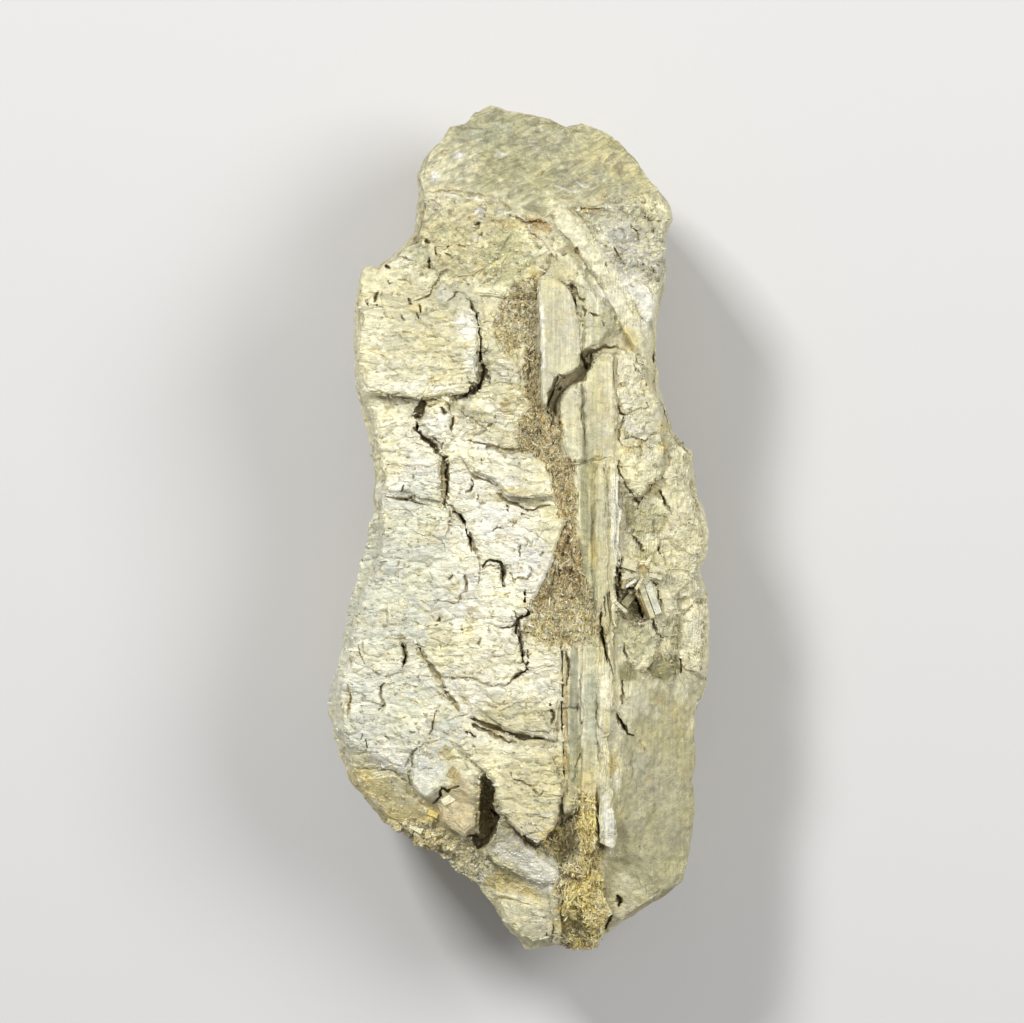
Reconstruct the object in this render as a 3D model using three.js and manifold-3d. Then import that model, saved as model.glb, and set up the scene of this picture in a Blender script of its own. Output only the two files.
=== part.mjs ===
// Pyrite specimen: one splintery piece of fibrous pyrite, lying on its flat back.
// Millimetres. +Z is up, +Y runs along the grain, and the origin is under the middle of the stone.

import * as THREE from 'three';
import { mergeVertices } from 'three/addons/utils/BufferGeometryUtils.js';
import Module from 'manifold-3d';

const wasm = await Module();
wasm.setup();

// ---- driving dimensions ----

const middleLine = {
  reach: 0.6,                // share of the stone's length that the line runs along
  lean: 0.03,                // its drift across the grain for each millimetre along it
  shift: -0.3,               // its place across the grain half way along
};
const edgeBreak = 0.22;      // broken edge along the top of each plate
const crackWidth = 0.16;     // gap between plates that share an edge
const plateRoot = 5;         // how deep a plate runs into the stone
const smallestStep = 0.05;   // steps finer than this are smoothed away
const roofHeight = 27;       // top of the rough blank, all of it cut away by the main faces
const bandEdge = 0.12;       // broken edge along a narrow band
const crackFlare = { floor: 0.5, roof: 1.3 };    // width of a crack at each height, against its own
const hollowTaper = [        // how a hollow widens on its way up from its floor
  { rise: 0, spread: 0.62 }, { rise: 2.5, spread: 0.95 }, { rise: 12, spread: 1.12 },
];
const crystalSizes = [0.7, 1.4];                 // smallest and largest crystal, against the size
const crystalLift = 0.35;    // how unevenly the crystals sit, in millimetres
const sliverLengths = [12, 30];
const sliverReach = [-30, 32];                   // the slivers lie between these places
const sliverSwell = [        // how thick a sliver is along its length
  { share: 0, swell: 0.25 }, { share: 0.25, swell: 1 }, { share: 0.75, swell: 1 },
  { share: 1, swell: 0.25 },
];

// The widest line round the stone, clockwise from the top end.
const widestLine = [
  [-2.5, 36], [-1, 35.5], [1, 35], [3, 34.5], [4, 34], [5.25, 34.25], [7, 33.75], [8.25, 32.75],
  [9.75, 31.25], [11.5, 29], [12.75, 27], [13, 26.25], [12.5, 25], [12.25, 21], [11.75, 17.5],
  [11.5, 14], [11.5, 11.5], [12.5, 10], [13, 8.25], [14, 7], [15, 5.25], [14.75, 3.5],
  [15.75, 1.5], [16.25, -0.5], [16, -2], [15.25, -4], [16, -6], [16.25, -11], [16, -13.5],
  [15, -16], [15, -20.5], [14.75, -21.75], [15, -24], [14.5, -29], [14, -30.5], [12.5, -31.5],
  [8.5, -34], [7.25, -35], [6.5, -36], [3.5, -35.75], [0.5, -36.25], [-0.75, -35],
  [-2.25, -32.5], [-3.5, -30.5], [-5.5, -29.25], [-8, -27], [-9.5, -26.25], [-11.5, -25.25],
  [-12, -24.5], [-14.25, -22], [-15, -20.25], [-16.25, -16.5], [-16.5, -14.5], [-16, -13],
  [-15.5, -12], [-14.5, -6.5], [-13.5, -4.5], [-12.75, -2.5], [-12.5, 0], [-12.25, 3],
  [-12, 4], [-12.5, 6.5], [-13, 9.5], [-14, 12], [-14.25, 14], [-14, 18], [-13.75, 20],
  [-13.5, 22], [-13, 22.25], [-12.25, 21.75], [-10.5, 23.25], [-9.25, 24.5], [-8.75, 27],
  [-8.75, 30.25], [-8, 31.75], [-6.75, 33], [-6, 34.25], [-4.75, 34.5], [-3.75, 35.5],
];

// How far the side has drawn in from the widest line at each height, and how much it wanders.
const sideSteps = [
  { z: 0, inset: 5.6, wander: 0.9 }, { z: 1.4, inset: 3.9, wander: 0.8 },
  { z: 3, inset: 2.5, wander: 0.9 }, { z: 5, inset: 1.9, wander: 0.7 },
  { z: 7.2, inset: 0.8, wander: 0.5 }, { z: 9.4, inset: 0.5, wander: 0.4 },
  { z: 11.5, inset: 0, wander: 0 }, { z: 14, inset: 0.25, wander: 0.15 },
  { z: 17, inset: 0.2, wander: 0.15 }, { z: 20, inset: 0.7, wander: 0.2 },
  { z: roofHeight, inset: 1.5, wander: 0.2 },
];

// The broad faces of the front. Each is a point on the face and the way that it looks.
const mainFaces = {
  leftFront: { at: [-6, 0, 21.6], facing: [-0.05, 0, 1] },
  rightFront: { at: [7.5, 0, 21.8], facing: [0.42, 0, 1] },
  lowerRight: { at: [8.2, -22, 21.6], facing: [0.7, -0.02, 1] },
  cap: { at: [0, 28, 21.2], facing: [0.04, 0.76, 1] },
  capRight: { at: [7, 29, 19.9], facing: [0.4, 0.68, 1] },
  capLeft: { at: [-6, 30, 19.2], facing: [-0.35, 0.6, 1] },
  foot: { at: [2, -29, 19.8], facing: [0.02, -0.36, 1] },
  lowerLeft: { at: [-11, -21.5, 20.3], facing: [-0.3, -0.6, 1] },
};

// ---- plates of the front: outline, height at the middle and rise along X and Y ----

const plates = {
  shoulder: {
    outline: [
      [-13.5, 19], [-13.25, 21.5], [-12.75, 21.75], [-12.25, 21.25], [-10.5, 22.75], [-9, 23.5],
      [-7.5, 22.5], [-6, 20.5], [-4.5, 19.75], [-3.75, 18.5], [-3.5, 16], [-3.25, 13.75],
      [-3.5, 12], [-4.5, 11], [-6.25, 11], [-7.5, 10.75], [-10, 11], [-13, 11.25], [-13.75, 13],
      [-13.5, 16],
    ],
    height: 22.2, rise: [0.02, -0.07],
  },
  second: {
    outline: [
      [-12.5, 9.75], [-9.25, 9.5], [-8.75, 8.25], [-7.5, 7.25], [-6.75, 6], [-6.75, 2],
      [-8.5, 2.25], [-9.5, 2.75], [-11.5, 2.75], [-11.5, 4], [-12, 6.5],
    ],
    height: 21.7, rise: [0.1, -0.03],
  },
  chalkBlock: {
    outline: [
      [-8, 10], [-6.25, 10.25], [-5.75, 9.5], [-5.75, 7.5], [-6.25, 6.25], [-7.5, 7.75],
      [-8.25, 8.75],
    ],
    height: 22.2, rise: [0.04, 0],
  },
  innerStrip: {
    outline: [
      [-3, 17.25], [-1.75, 19], [-0.75, 16.75], [-0.25, 14], [0.25, 10.75], [-0.5, 9.5],
      [-2, 9.75], [-2.75, 11], [-2.75, 14],
    ],
    height: 22.2, rise: [0.14, 0.02],
  },
  leaf: {
    outline: [
      [-5.5, 8], [-3.75, 7], [-1.75, 6.5], [1, 6], [2.25, 5.25], [3, 4], [3, 2.5], [1.75, 2.5],
      [0, 2.25], [-1.25, 2.75], [-2.25, 3.75], [-3.5, 4.25], [-4.75, 5.25], [-5.5, 6.75],
    ],
    height: 22.35, rise: [0.08, -0.14],
  },
  blade: {
    outline: [
      [2.25, 21.5], [3.5, 21], [4.75, 19.25], [5.25, 16.75], [5.25, 14.75], [5, 13.25],
      [3.75, 12.5], [2.75, 11.5], [2.25, 9.5], [1.75, 10.75], [1.75, 14], [1.5, 17.5],
      [1.5, 20.5],
    ],
    height: 23.7, rise: [0.02, -0.05],
  },
  lowerBlade: {
    outline: [
      [3.5, 11.25], [4.75, 12], [5.25, 11], [5.25, 5.5], [4.5, 5.25], [4, 5.5], [3.5, 7.25],
      [3.25, 9.5],
    ],
    height: 23, rise: [0.12, 0],
  },
  greySheet: {
    outline: [
      [4.5, 20.5], [6, 20], [7.25, 19], [8, 17.75], [7.75, 16.5], [6.75, 15.25], [5.25, 14.75],
      [5.25, 16.75], [4.75, 19],
    ],
    height: 22.9, rise: [-0.25, 0],
  },
  smoothSheet: {
    outline: [
      [5.5, 14], [7, 14.75], [8, 14.75], [8, 12.5], [8.25, 9], [8, 5.75], [6.75, 5.5],
      [5.25, 5.5], [5.25, 10.75],
    ],
    height: 23, rise: [-0.15, 0.02],
  },
  paleBand: {
    outline: [
      [2.5, 26.25], [3.5, 27], [5, 25.75], [7, 22.5], [9.25, 18.75], [10.75, 16], [11, 14.5],
      [11, 12.25], [10.25, 13.5], [8.75, 16.25], [7, 19.75], [4.75, 23.25], [3.25, 25],
    ],
    height: 22.5, rise: [-0.36, -0.06],
  },
  upperRight: {
    outline: [
      [4.5, 27], [7.25, 27.25], [10.25, 27], [12, 26], [12, 24.25], [11.75, 22.5],
      [11.5, 20], [10.25, 21], [8.5, 20.75], [6.75, 23.25],
    ],
    height: 21, rise: [-0.46, 0.04],
  },
  chalkFacet: {
    outline: [[8.75, 20.25], [10.25, 20.75], [11.5, 19.25], [11.25, 16.25], [10.5, 17.25]],
    height: 21.2, rise: [-0.4, 0.05],
  },
  upperLeft: {
    outline: [
      [-8.25, 27.75], [-6, 28], [-3.5, 27.5], [-1.25, 26.5], [-0.5, 24.75], [-1.75, 22.5],
      [-3.75, 21], [-5.25, 20.75], [-6.5, 21.75], [-7.5, 23.75], [-8.5, 24.75],
    ],
    height: 21.8, rise: [0.08, -0.03],
  },
  upperMiddle: {
    outline: [
      [-1, 26], [1, 25.75], [2.25, 24.25], [2.75, 22.5], [1.25, 21], [1, 19.5], [-1.5, 19.25],
      [-4, 19.5], [-3.25, 20.75], [-1.5, 22.25], [-0.25, 24.5],
    ],
    height: 22.2, rise: [0.1, -0.05],
  },
  heart: {
    outline: [
      [-6, 3.5], [-4, 3.5], [-3.5, 1.75], [-1.75, 1.75], [1.75, 1.25], [4, 0.5], [3.25, -1.5],
      [2.25, -4.25], [1, -6.75], [0.25, -8], [-1.75, -8.5], [-4.25, -8.25], [-6.5, -8],
      [-7, -3],
    ],
    height: 22.1, rise: [0.12, 0.01],
  },
  layered: {
    outline: [
      [-7.25, -9.75], [-6, -8.75], [-1.75, -8.75], [0, -9.25], [1.75, -9.5], [3.5, -10],
      [3.75, -11.5], [3.5, -14], [3.25, -16.5], [3, -18.25], [1, -17.75], [-1.75, -17],
      [-3.5, -15.75], [-5, -14.5], [-6.25, -12.75],
    ],
    height: 22.3, rise: [0.13, 0.02],
  },
  tongue: {
    outline: [
      [-5, -16.5], [-2.5, -17.25], [0, -18.25], [2.25, -18.75], [3, -20.25], [3.5, -22.5],
      [3.5, -24], [3, -25.5], [2.25, -26.5], [1.5, -26.75], [0.5, -26.25], [-0.75, -25.25],
      [-1.5, -24], [-2, -23], [-2.25, -21.5], [-3, -20.5], [-4.25, -19.5], [-5.25, -18.5],
    ],
    height: 22.9, rise: [0.12, -0.1],
  },
  smallSlab: {
    outline: [
      [-8.5, -19], [-7.5, -18.25], [-6.25, -20.25], [-6, -21.75], [-7, -22.5], [-8, -23],
      [-9.25, -22], [-9.25, -20.5],
    ],
    height: 21.6, rise: [0.06, 0.05],
  },
  pinkBlock: {
    outline: [
      [-7, -23.5], [-6, -22.5], [-5.5, -21], [-4.5, -20.5], [-3.75, -22], [-3.75, -25.5],
      [-4.5, -26.25], [-6, -25.5], [-6.75, -24.5],
    ],
    height: 21, rise: [0.12, 0.15],
  },
  footPale: {
    outline: [
      [-1.75, -25], [-0.5, -25.5], [1, -27.25], [2.25, -28.25], [3.5, -28.75], [3.25, -30.25],
      [1.75, -30.25], [0, -29.5], [-1.75, -28.75], [-3.25, -27.75], [-2.75, -26.5],
    ],
    height: 20.9, rise: [0.02, 0.24],
  },
  footSlab: {
    outline: [
      [-2, -31.5], [0, -31.75], [1.5, -32.25], [2.25, -33.5], [2.25, -35], [1.25, -35.25],
      [0, -34.75], [-1.25, -33.5],
    ],
    height: 18.8, rise: [0, 0.28],
  },
  footSliver: {
    outline: [[2.5, -30.5], [3.5, -30.5], [3.5, -35.25], [2.75, -35.25]],
    height: 19.1, rise: [0, 0.3],
  },
  rightUpper: {
    outline: [
      [8.25, 14.5], [9.25, 15], [10.5, 12.75], [11.25, 11.5], [12, 10], [12.25, 8.75],
      [11.75, 7.5], [10.25, 7.75], [8.75, 7.5], [8.5, 8.25], [8.75, 9.5], [8.25, 10.75],
    ],
    height: 21.8, rise: [-0.36, 0],
  },
  shield: {
    outline: [
      [8.75, 7], [10.25, 7.25], [12, 7], [12.25, 5.5], [12, 4], [11, 3.5], [10.25, 2.25],
      [9.5, 3], [8.75, 4], [8.5, 5.5],
    ],
    height: 21.8, rise: [-0.34, -0.03],
  },
  outerRight: {
    outline: [
      [12.5, 8], [13.75, 6.5], [14.5, 5], [14.25, 3.5], [15, 2], [15.5, 0], [15.25, -2.5],
      [14.5, -2.75], [13, -1.75], [12.25, 1], [12.25, 3], [12.5, 5.5],
    ],
    height: 19.2, rise: [-0.58, 0],
  },
  brokenPetal: {
    outline: [[8.5, -3], [10, -2.5], [11.25, -3], [12, -4], [11.25, -4.75], [9, -4.75]],
    height: 21.4, rise: [-0.3, 0.1],
  },
  cavityLath: {
    outline: [[10.5, -5.25], [11, -4.75], [12, -6.75], [12, -8], [11.25, -8], [10.75, -6.75]],
    height: 20.7, rise: [-0.2, 0.12],
  },
  outerLath: {
    outline: [[12.5, -3.25], [15, -3.75], [15.25, -6], [14, -6.25], [13, -6.25], [12.25, -5]],
    height: 19, rise: [-0.6, 0.05],
  },
  rightFacet: {
    outline: [[14, -6.75], [15.5, -7], [15.75, -12], [15.25, -12.5], [14, -12.25],
      [13.5, -11], [14, -9.5]],
    height: 18.3, rise: [-0.55, 0.02],
  },
  prism: {
    outline: [[12.5, -6.75], [13.5, -6.75], [13.5, -9.5], [13, -11.5], [12.25, -10.5]],
    height: 19.7, rise: [-0.4, 0],
  },
  midRight: {
    outline: [[8.75, -9.75], [10.25, -8.75], [12, -9.5], [11.5, -11], [10.75, -12.5],
      [9.25, -12.25]],
    height: 20.9, rise: [-0.45, 0],
  },
  lowerLeftSlope: {
    outline: [
      [-14, -21], [-9.75, -21], [-9.5, -22.5], [-8, -23.5], [-7, -24.5], [-8, -26.25],
      [-11.25, -24.75], [-13.75, -22],
    ],
    height: 20, rise: [0.2, 0.45],
  },
};

// Long smooth bands along the grain, each from one end to the other, left edge to right edge.
const bands = [
  { left: [4.75, 5.5], right: [6, 6.25], from: 5.25, to: -6.5, height: 22.6, fall: 0.05 },
  { left: [6.3, 6.5], right: [7.35, 7.4], from: 5.4, to: -9.5, height: 23, fall: -0.15 },
  { left: [7.55, 7.7], right: [8.4, 8.3], from: 5.2, to: -8.5, height: 22.6, fall: -0.35 },
  { left: [4, 4.1], right: [5, 5], from: -9.75, to: -24.25, height: 22.3, fall: 0.1 },
  { left: [5.25, 5.25], right: [6.5, 6.4], from: -9.5, to: -27.5, height: 22.9, fall: 0 },
  { left: [6.7, 6.7], right: [7.9, 7.6], from: -10, to: -17.5, height: 23, fall: -0.25 },
  { left: [6.6, 6.75], right: [7.5, 8.4], from: -18, to: -27.25, height: 23, fall: -0.3 },
];

// ---- cracks: the line that each follows, its width and the height of its floor ----

const cracks = [
  { name: 'shoulder side', width: 0.75, floor: 18.8,
    line: [[-4, 19.25], [-3.5, 17.5], [-3.4, 14.5], [-3.2, 12.5], [-3.6, 11.6], [-4.6, 10.8]] },
  { name: 'shoulder ledge', width: 0.6, floor: 20,
    line: [[-12.4, 11.2], [-10.5, 10.8], [-8.5, 10.6], [-7.4, 10.3], [-6.2, 10.6], [-4.6, 10.7]] },
  { name: 'slot upper', width: 0.55, floor: 19.6,
    line: [[-8.8, 9], [-8.5, 8], [-7.6, 7.1], [-6.9, 6.2], [-6.3, 5.6]] },
  { name: 'slot', width: 0.95, floor: 18.2,
    line: [[-6.4, 6], [-6.3, 4.6], [-6.3, 3], [-6.3, 1.4]] },
  { name: 'slot tail', width: 0.5, floor: 19.4,
    line: [[-6.3, 1.7], [-5.2, 1], [-4.6, 0.4], [-4.4, -0.6], [-4, -1.2], [-4, -2.2]] },
  { name: 'second ledge', width: 0.4, floor: 20.9,
    line: [[-11.6, 2.6], [-10, 2.4], [-8.6, 2], [-6.6, 1.5]] },
  { name: 'blade foot', width: 0.8, floor: 21,
    line: [[6, 14.6], [5.6, 13.4], [4.2, 12.4], [3.2, 11.5], [2.8, 10], [2.6, 7.6], [3.2, 5.6]] },
  { name: 'long split', width: 0.4, floor: 20.6,
    line: [[6.75, -7], [6.9, -9], [7.25, -10.5], [7.6, -12.75]] },
  { name: 'low right', width: 0.4, floor: 19.6,
    line: [[8, -15.25], [8.4, -16.25], [8.9, -17], [9.4, -17.75]] },
  { name: 'heart split', width: 0.45, floor: 20.8,
    line: [[0.4, -5], [0.5, -6.5], [0.8, -7.4], [-0.2, -8], [-0.2, -9], [0.3, -10], [0.3, -11.2],
      [0.7, -12], [-0.6, -13.1]] },
  { name: 'arch', width: 0.45, floor: 20.9,
    line: [[-3.1, -3.6], [-2.7, -2.8], [-1.6, -3], [-1.4, -4], [-1.5, -5.4]] },
  { name: 'tongue top', width: 0.7, floor: 21,
    line: [[-4.2, -16.2], [-2.6, -16.8], [-1.2, -17.4], [0.5, -17.8], [2.2, -17.9]] },
  { name: 'left eye', width: 0.45, floor: 19.8,
    line: [[-10, -9.8], [-9.7, -11], [-10, -12.3]] },
  { name: 'diagonal seam', width: 0.5, floor: 21,
    line: [[-8.8, -9.75], [-7.6, -11.5], [-6.7, -13.2], [-5.6, -14.9], [-4.6, -16]] },
  { name: 'layered side', width: 0.55, floor: 20.7,
    line: [[3.8, -9.6], [3.9, -12], [3.7, -15], [3.6, -18.4], [3.8, -22], [3.7, -25]] },
];

// ---- hollows: outline and floor height ----

const hollows = {
  deepHole: {
    outline: [
      [-3.5, -21.25], [-2.75, -20.75], [-2, -22], [-2, -24], [-1.5, -24.5], [-2, -26],
      [-2.75, -27], [-3.5, -27.5], [-4.25, -26.75], [-3.5, -26], [-3.5, -24],
    ],
    floor: 15.5,
  },
  rightCavity: {
    outline: [
      [8, -4.75], [8.5, -5.5], [9.75, -5.25], [10.25, -6], [11, -7.75], [11, -8.5],
      [10, -8.5], [8.75, -8], [8.25, -7],
    ],
    floor: 18,
  },
  leftSocket: {
    outline: [[-8.5, 10.75], [-7.75, 10.5], [-8, 9.5], [-8.5, 8.75], [-9.25, 9.25]],
    floor: 19.2,
  },
  drusePocket: {
    outline: [[4.25, 0.75], [3.5, -1.75], [2.5, -4], [1.25, -6.75], [3, -7], [6, -6.5],
      [5, -4.25], [4.75, -1.5]],
    floor: 20.4,
  },
  upperPocket: {
    outline: [[0.5, 15.5], [1.25, 15.25], [1.5, 12.5], [1.25, 10.75], [0.5, 10.75]],
    floor: 20.3,
  },
  belowTongue: {
    outline: [[2.25, -28.25], [3.75, -27.75], [4, -25], [3.75, -24], [2.5, -26.75], [1, -27.25]],
    floor: 19.8,
  },
};

// ---- crusts of small crystals: the patch that they cover, their size and how high they sit ----

const crusts = [
  { patch: [[4.25, 0], [2, -6.5], [5.5, -6.5]], height: 21.2, size: 1.2, count: 18 },
  { patch: [[1.5, -7], [7, -6.75], [6.5, -9.5], [2.5, -9.5]], height: 21.6, size: 1.2, count: 13 },
  { patch: [[4.5, -28], [6.5, -27.5], [6.5, -34.5], [4, -34.5]], height: 19.8, size: 1.7,
    count: 13 },
  { patch: [[0.5, 10], [3, 9], [3.25, 5.5], [1.5, 6]], height: 21.8, size: 1, count: 7 },
  { patch: [[-11, -24.5], [-6, -25], [-4.5, -28], [-8, -26.5]], height: 18.6, size: 1.6,
    count: 8 },
];

// ---- splinters and furrows along the sides and the back ----

const splinterRows = [
  { side: -1, low: 3, high: 9, count: 5, thick: [1.4, 2.4], proud: 0.5 },
  { side: -1, low: 13, high: 19, count: 4, thick: [1, 1.8], proud: 0.1 },
  { side: 1, low: 3, high: 9, count: 5, thick: [1.4, 2.4], proud: 0.5 },
  { side: 1, low: 12, high: 15, count: 3, thick: [1, 1.8], proud: 0.1 },
];
const furrowRows = [
  { side: -1, low: 2, high: 19, count: 6, thick: [0.6, 1.1], proud: 0.1 },
  { side: 1, low: 2, high: 15, count: 5, thick: [0.6, 1.1], proud: 0.1 },
];

// ---- making ----

// A small repeatable source of numbers between 0 and 1, so that the stone is the same every time.
function makeDice(seed) {
  let state = seed;
  return () => {
    state = (state * 16807) % 2147483647;
    return state / 2147483647;
  };
}

function solidFrom(geometry) {
  const bare = geometry.clone();
  bare.deleteAttribute('normal');
  bare.deleteAttribute('uv');
  const merged = mergeVertices(bare, 1e-4);
  return new wasm.Manifold(new wasm.Mesh({
    numProp: 3,
    vertProperties: new Float32Array(merged.attributes.position.array),
    triVerts: new Uint32Array(merged.index.array),
  }));
}

// A closed skin over rings of points, which all run anticlockwise from the bottom ring up.
function skinOver(rings) {
  const count = rings[0].length;
  const faces = [];
  for (let level = 0; level < rings.length - 1; level += 1) {
    for (let i = 0; i < count; i += 1) {
      const next = (i + 1) % count;
      const a = level * count + i;
      const b = level * count + next;
      faces.push(a, b, a + count, b, b + count, a + count);
    }
  }
  const lid = (ring) => THREE.ShapeUtils.triangulateShape(
    ring.map(([x, y]) => new THREE.Vector2(x, y)), []);
  const top = (rings.length - 1) * count;
  for (const [a, b, c] of lid(rings[0])) faces.push(c, b, a);
  for (const [a, b, c] of lid(rings.at(-1))) faces.push(top + a, top + b, top + c);
  const geometry = new THREE.BufferGeometry();
  geometry.setAttribute('position', new THREE.Float32BufferAttribute(rings.flat(2), 3));
  geometry.setIndex(faces);
  return geometry;
}

function anticlockwise(outline) {
  const flat = outline.map(([x, y]) => new THREE.Vector2(x, y));
  return THREE.ShapeUtils.isClockWise(flat) ? [...outline].reverse() : outline;
}

function middleOf(outline) {
  const sum = outline.reduce(([sx, sy], [x, y]) => [sx + x, sy + y], [0, 0]);
  return sum.map((value) => value / outline.length);
}

// The rough blank: the widest line drawn in towards the middle line, with ridges along the grain.
function makeBlank() {
  const around = anticlockwise(widestLine);
  const ringAt = ({ z, inset, wander }, level) => around.map(([x, y]) => {
    const middle = new THREE.Vector2(
      middleLine.lean * y + middleLine.shift, middleLine.reach * y);
    const edge = new THREE.Vector2(x, y);
    const ridge = wander * Math.sin(1.3 * level + 0.16 * y + 2 * Math.sign(x));
    const pull = middle.clone().sub(edge).setLength(Math.max(inset + ridge, 0));
    const corner = edge.add(pull);
    return [corner.x, corner.y, z];
  });
  return solidFrom(skinOver(sideSteps.map(ringAt)));
}

// A large block whose lower face lies on a main face, for cutting the front down to it.
function makeCutter({ at, facing }) {
  const reach = 160;
  const block = new THREE.BoxGeometry(reach, reach, reach);
  block.translate(0, 0, reach / 2);
  const turn = new THREE.Quaternion().setFromUnitVectors(
    new THREE.Vector3(0, 0, 1), new THREE.Vector3(...facing).normalize());
  block.applyQuaternion(turn);
  block.translate(...at);
  return solidFrom(block);
}

// A plate that stands on its outline, with a broken upper edge and a tilted top.
function makePlate({ outline, height, rise, edge = edgeBreak, gap = crackWidth }) {
  const [middleX, middleY] = middleOf(outline);
  const shape = new THREE.Shape(outline.map(([x, y]) => new THREE.Vector2(x, y)));
  const geometry = new THREE.ExtrudeGeometry(shape, {
    depth: plateRoot, bevelEnabled: true, bevelSegments: 1,
    bevelThickness: edge, bevelSize: edge, bevelOffset: -edge - gap / 2,
  });
  const position = geometry.attributes.position;
  for (let i = 0; i < position.count; i += 1) {
    const lean = rise[0] * (position.getX(i) - middleX) + rise[1] * (position.getY(i) - middleY);
    position.setZ(i, position.getZ(i) + height - plateRoot - edge + lean);
  }
  return solidFrom(geometry);
}

function makeBand({ left, right, from, to, height, fall }) {
  const waist = (from + to) / 2;
  const outline = [
    [left[0], from], [right[0] - 0.15, from + 0.2], [(right[0] + right[1]) / 2, waist],
    [right[1], to + 0.4], [(left[1] + right[1]) / 2, to], [left[1], to + 0.5],
    [(left[0] + left[1]) / 2 + 0.08, waist - 2],
  ];
  return makePlate({ outline, height, rise: [fall, 0.004], edge: bandEdge, gap: 0 });
}

// A wedge that opens upwards along a line and closes to a point at both ends.
function makeCrack({ line, width, floor }) {
  const sideways = (i) => {
    const [ax, ay] = line[Math.max(i - 1, 0)];
    const [bx, by] = line[Math.min(i + 1, line.length - 1)];
    return new THREE.Vector2(ay - by, bx - ax).normalize();
  };
  const outlineAt = (reach) => {
    const inner = line.slice(1, -1).map(([x, y], i) => [x, y, sideways(i + 1)]);
    const left = inner.map(([x, y, side]) => [x + reach * side.x, y + reach * side.y]);
    const right = inner.map(([x, y, side]) => [x - reach * side.x, y - reach * side.y]);
    return anticlockwise([line[0], ...left, line.at(-1), ...right.reverse()]);
  };
  const ringAt = (z, share) => outlineAt(share * width / 2).map(([x, y]) => [x, y, z]);
  return solidFrom(skinOver([
    ringAt(floor, crackFlare.floor), ringAt(roofHeight, crackFlare.roof)]));
}

function makeHollow({ outline, floor }) {
  const [middleX, middleY] = middleOf(outline);
  const ringAt = (z, spread) => anticlockwise(outline).map(([x, y]) => [
    middleX + (x - middleX) * spread, middleY + (y - middleY) * spread, z,
  ]);
  return solidFrom(skinOver(hollowTaper.map(({ rise, spread }) => ringAt(floor + rise, spread))));
}

function between([low, high], share) {
  return low + (high - low) * share;
}

// Small cubes grown into each other, strewn over a patch.
function makeCrust({ patch, height, size, count }, index) {
  const dice = makeDice(977 + 61 * index);
  const faces = THREE.ShapeUtils.triangulateShape(
    patch.map(([x, y]) => new THREE.Vector2(x, y)), []);
  const cubes = [];
  for (let i = 0; i < count; i += 1) {
    const corners = faces[i % faces.length].map((corner) => patch[corner]);
    let [u, v] = [dice(), dice()];
    if (u + v > 1) [u, v] = [1 - u, 1 - v];
    const place = [0, 1].map((axis) => corners[0][axis]
      + u * (corners[1][axis] - corners[0][axis]) + v * (corners[2][axis] - corners[0][axis]));
    const edge = size * between(crystalSizes, dice());
    const cube = new THREE.BoxGeometry(edge, edge, edge);
    cube.applyQuaternion(new THREE.Quaternion().setFromEuler(
      new THREE.Euler(3 * dice(), 3 * dice(), 3 * dice())));
    cube.translate(place[0], place[1], height - 0.35 * edge + crystalLift * dice());
    cubes.push(solidFrom(cube));
  }
  return wasm.Manifold.union(cubes);
}

// Where the widest line lies on one side of the stone at a place along the grain.
function edgeAt(y, side) {
  const crossings = [];
  widestLine.forEach(([x1, y1], i) => {
    const [x2, y2] = widestLine[(i + 1) % widestLine.length];
    if ((y1 - y) * (y2 - y) <= 0 && y1 !== y2) crossings.push(x1 + (x2 - x1) * (y - y1) / (y2 - y1));
  });
  return side < 0 ? Math.min(...crossings) : Math.max(...crossings);
}

function insetAt(z) {
  const above = sideSteps.findIndex((step) => step.z >= z);
  const [low, high] = [sideSteps[above - 1], sideSteps[above]];
  return low.inset + (high.inset - low.inset) * (z - low.z) / (high.z - low.z);
}

// A long sliver that follows the side of the stone along the grain and thins out at both ends.
function makeSliver(side, z, from, length, thick, proud) {
  const rings = sliverSwell.map(({ share, swell }) => {
    const y = from + share * length;
    const depth = side * (edgeAt(y, side) * side - insetAt(z) - thick * 0.4 + proud * swell);
    return [0, 1, 2, 3].map((corner) => {
      const turn = 0.4 + corner * Math.PI / 2;
      return [depth + 0.6 * thick * swell * Math.cos(turn), -z + thick * swell * Math.sin(turn), y];
    });
  });
  const geometry = skinOver(rings);
  geometry.rotateX(-Math.PI / 2);
  return solidFrom(geometry);
}

function makeRow({ side, low, high, count, thick, proud }, index) {
  const dice = makeDice(4211 + 97 * index);
  return Array.from({ length: count }, (_, i) => {
    const z = between([low, high], (i + dice()) / count);
    const length = between(sliverLengths, dice());
    const from = between([sliverReach[0], sliverReach[1] - length], dice());
    return makeSliver(side, z, from, length, between(thick, dice()), proud);
  });
}

// The stone without the tiny voids sealed between grown plates, and with no steps too small to see.
function cleaned(solid) {
  const whole = (stone) => stone.decompose().reduce((a, b) => (a.volume() > b.volume() ? a : b));
  return whole(whole(solid).simplify(smallestStep));
}

function meshFrom(solid, material) {
  const { vertProperties, triVerts } = cleaned(solid).getMesh();
  const geometry = new THREE.BufferGeometry();
  geometry.setAttribute('position', new THREE.BufferAttribute(vertProperties, 3));
  geometry.setIndex(new THREE.BufferAttribute(triVerts, 1));
  geometry.computeVertexNormals();
  return new THREE.Mesh(geometry, material);
}

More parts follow.
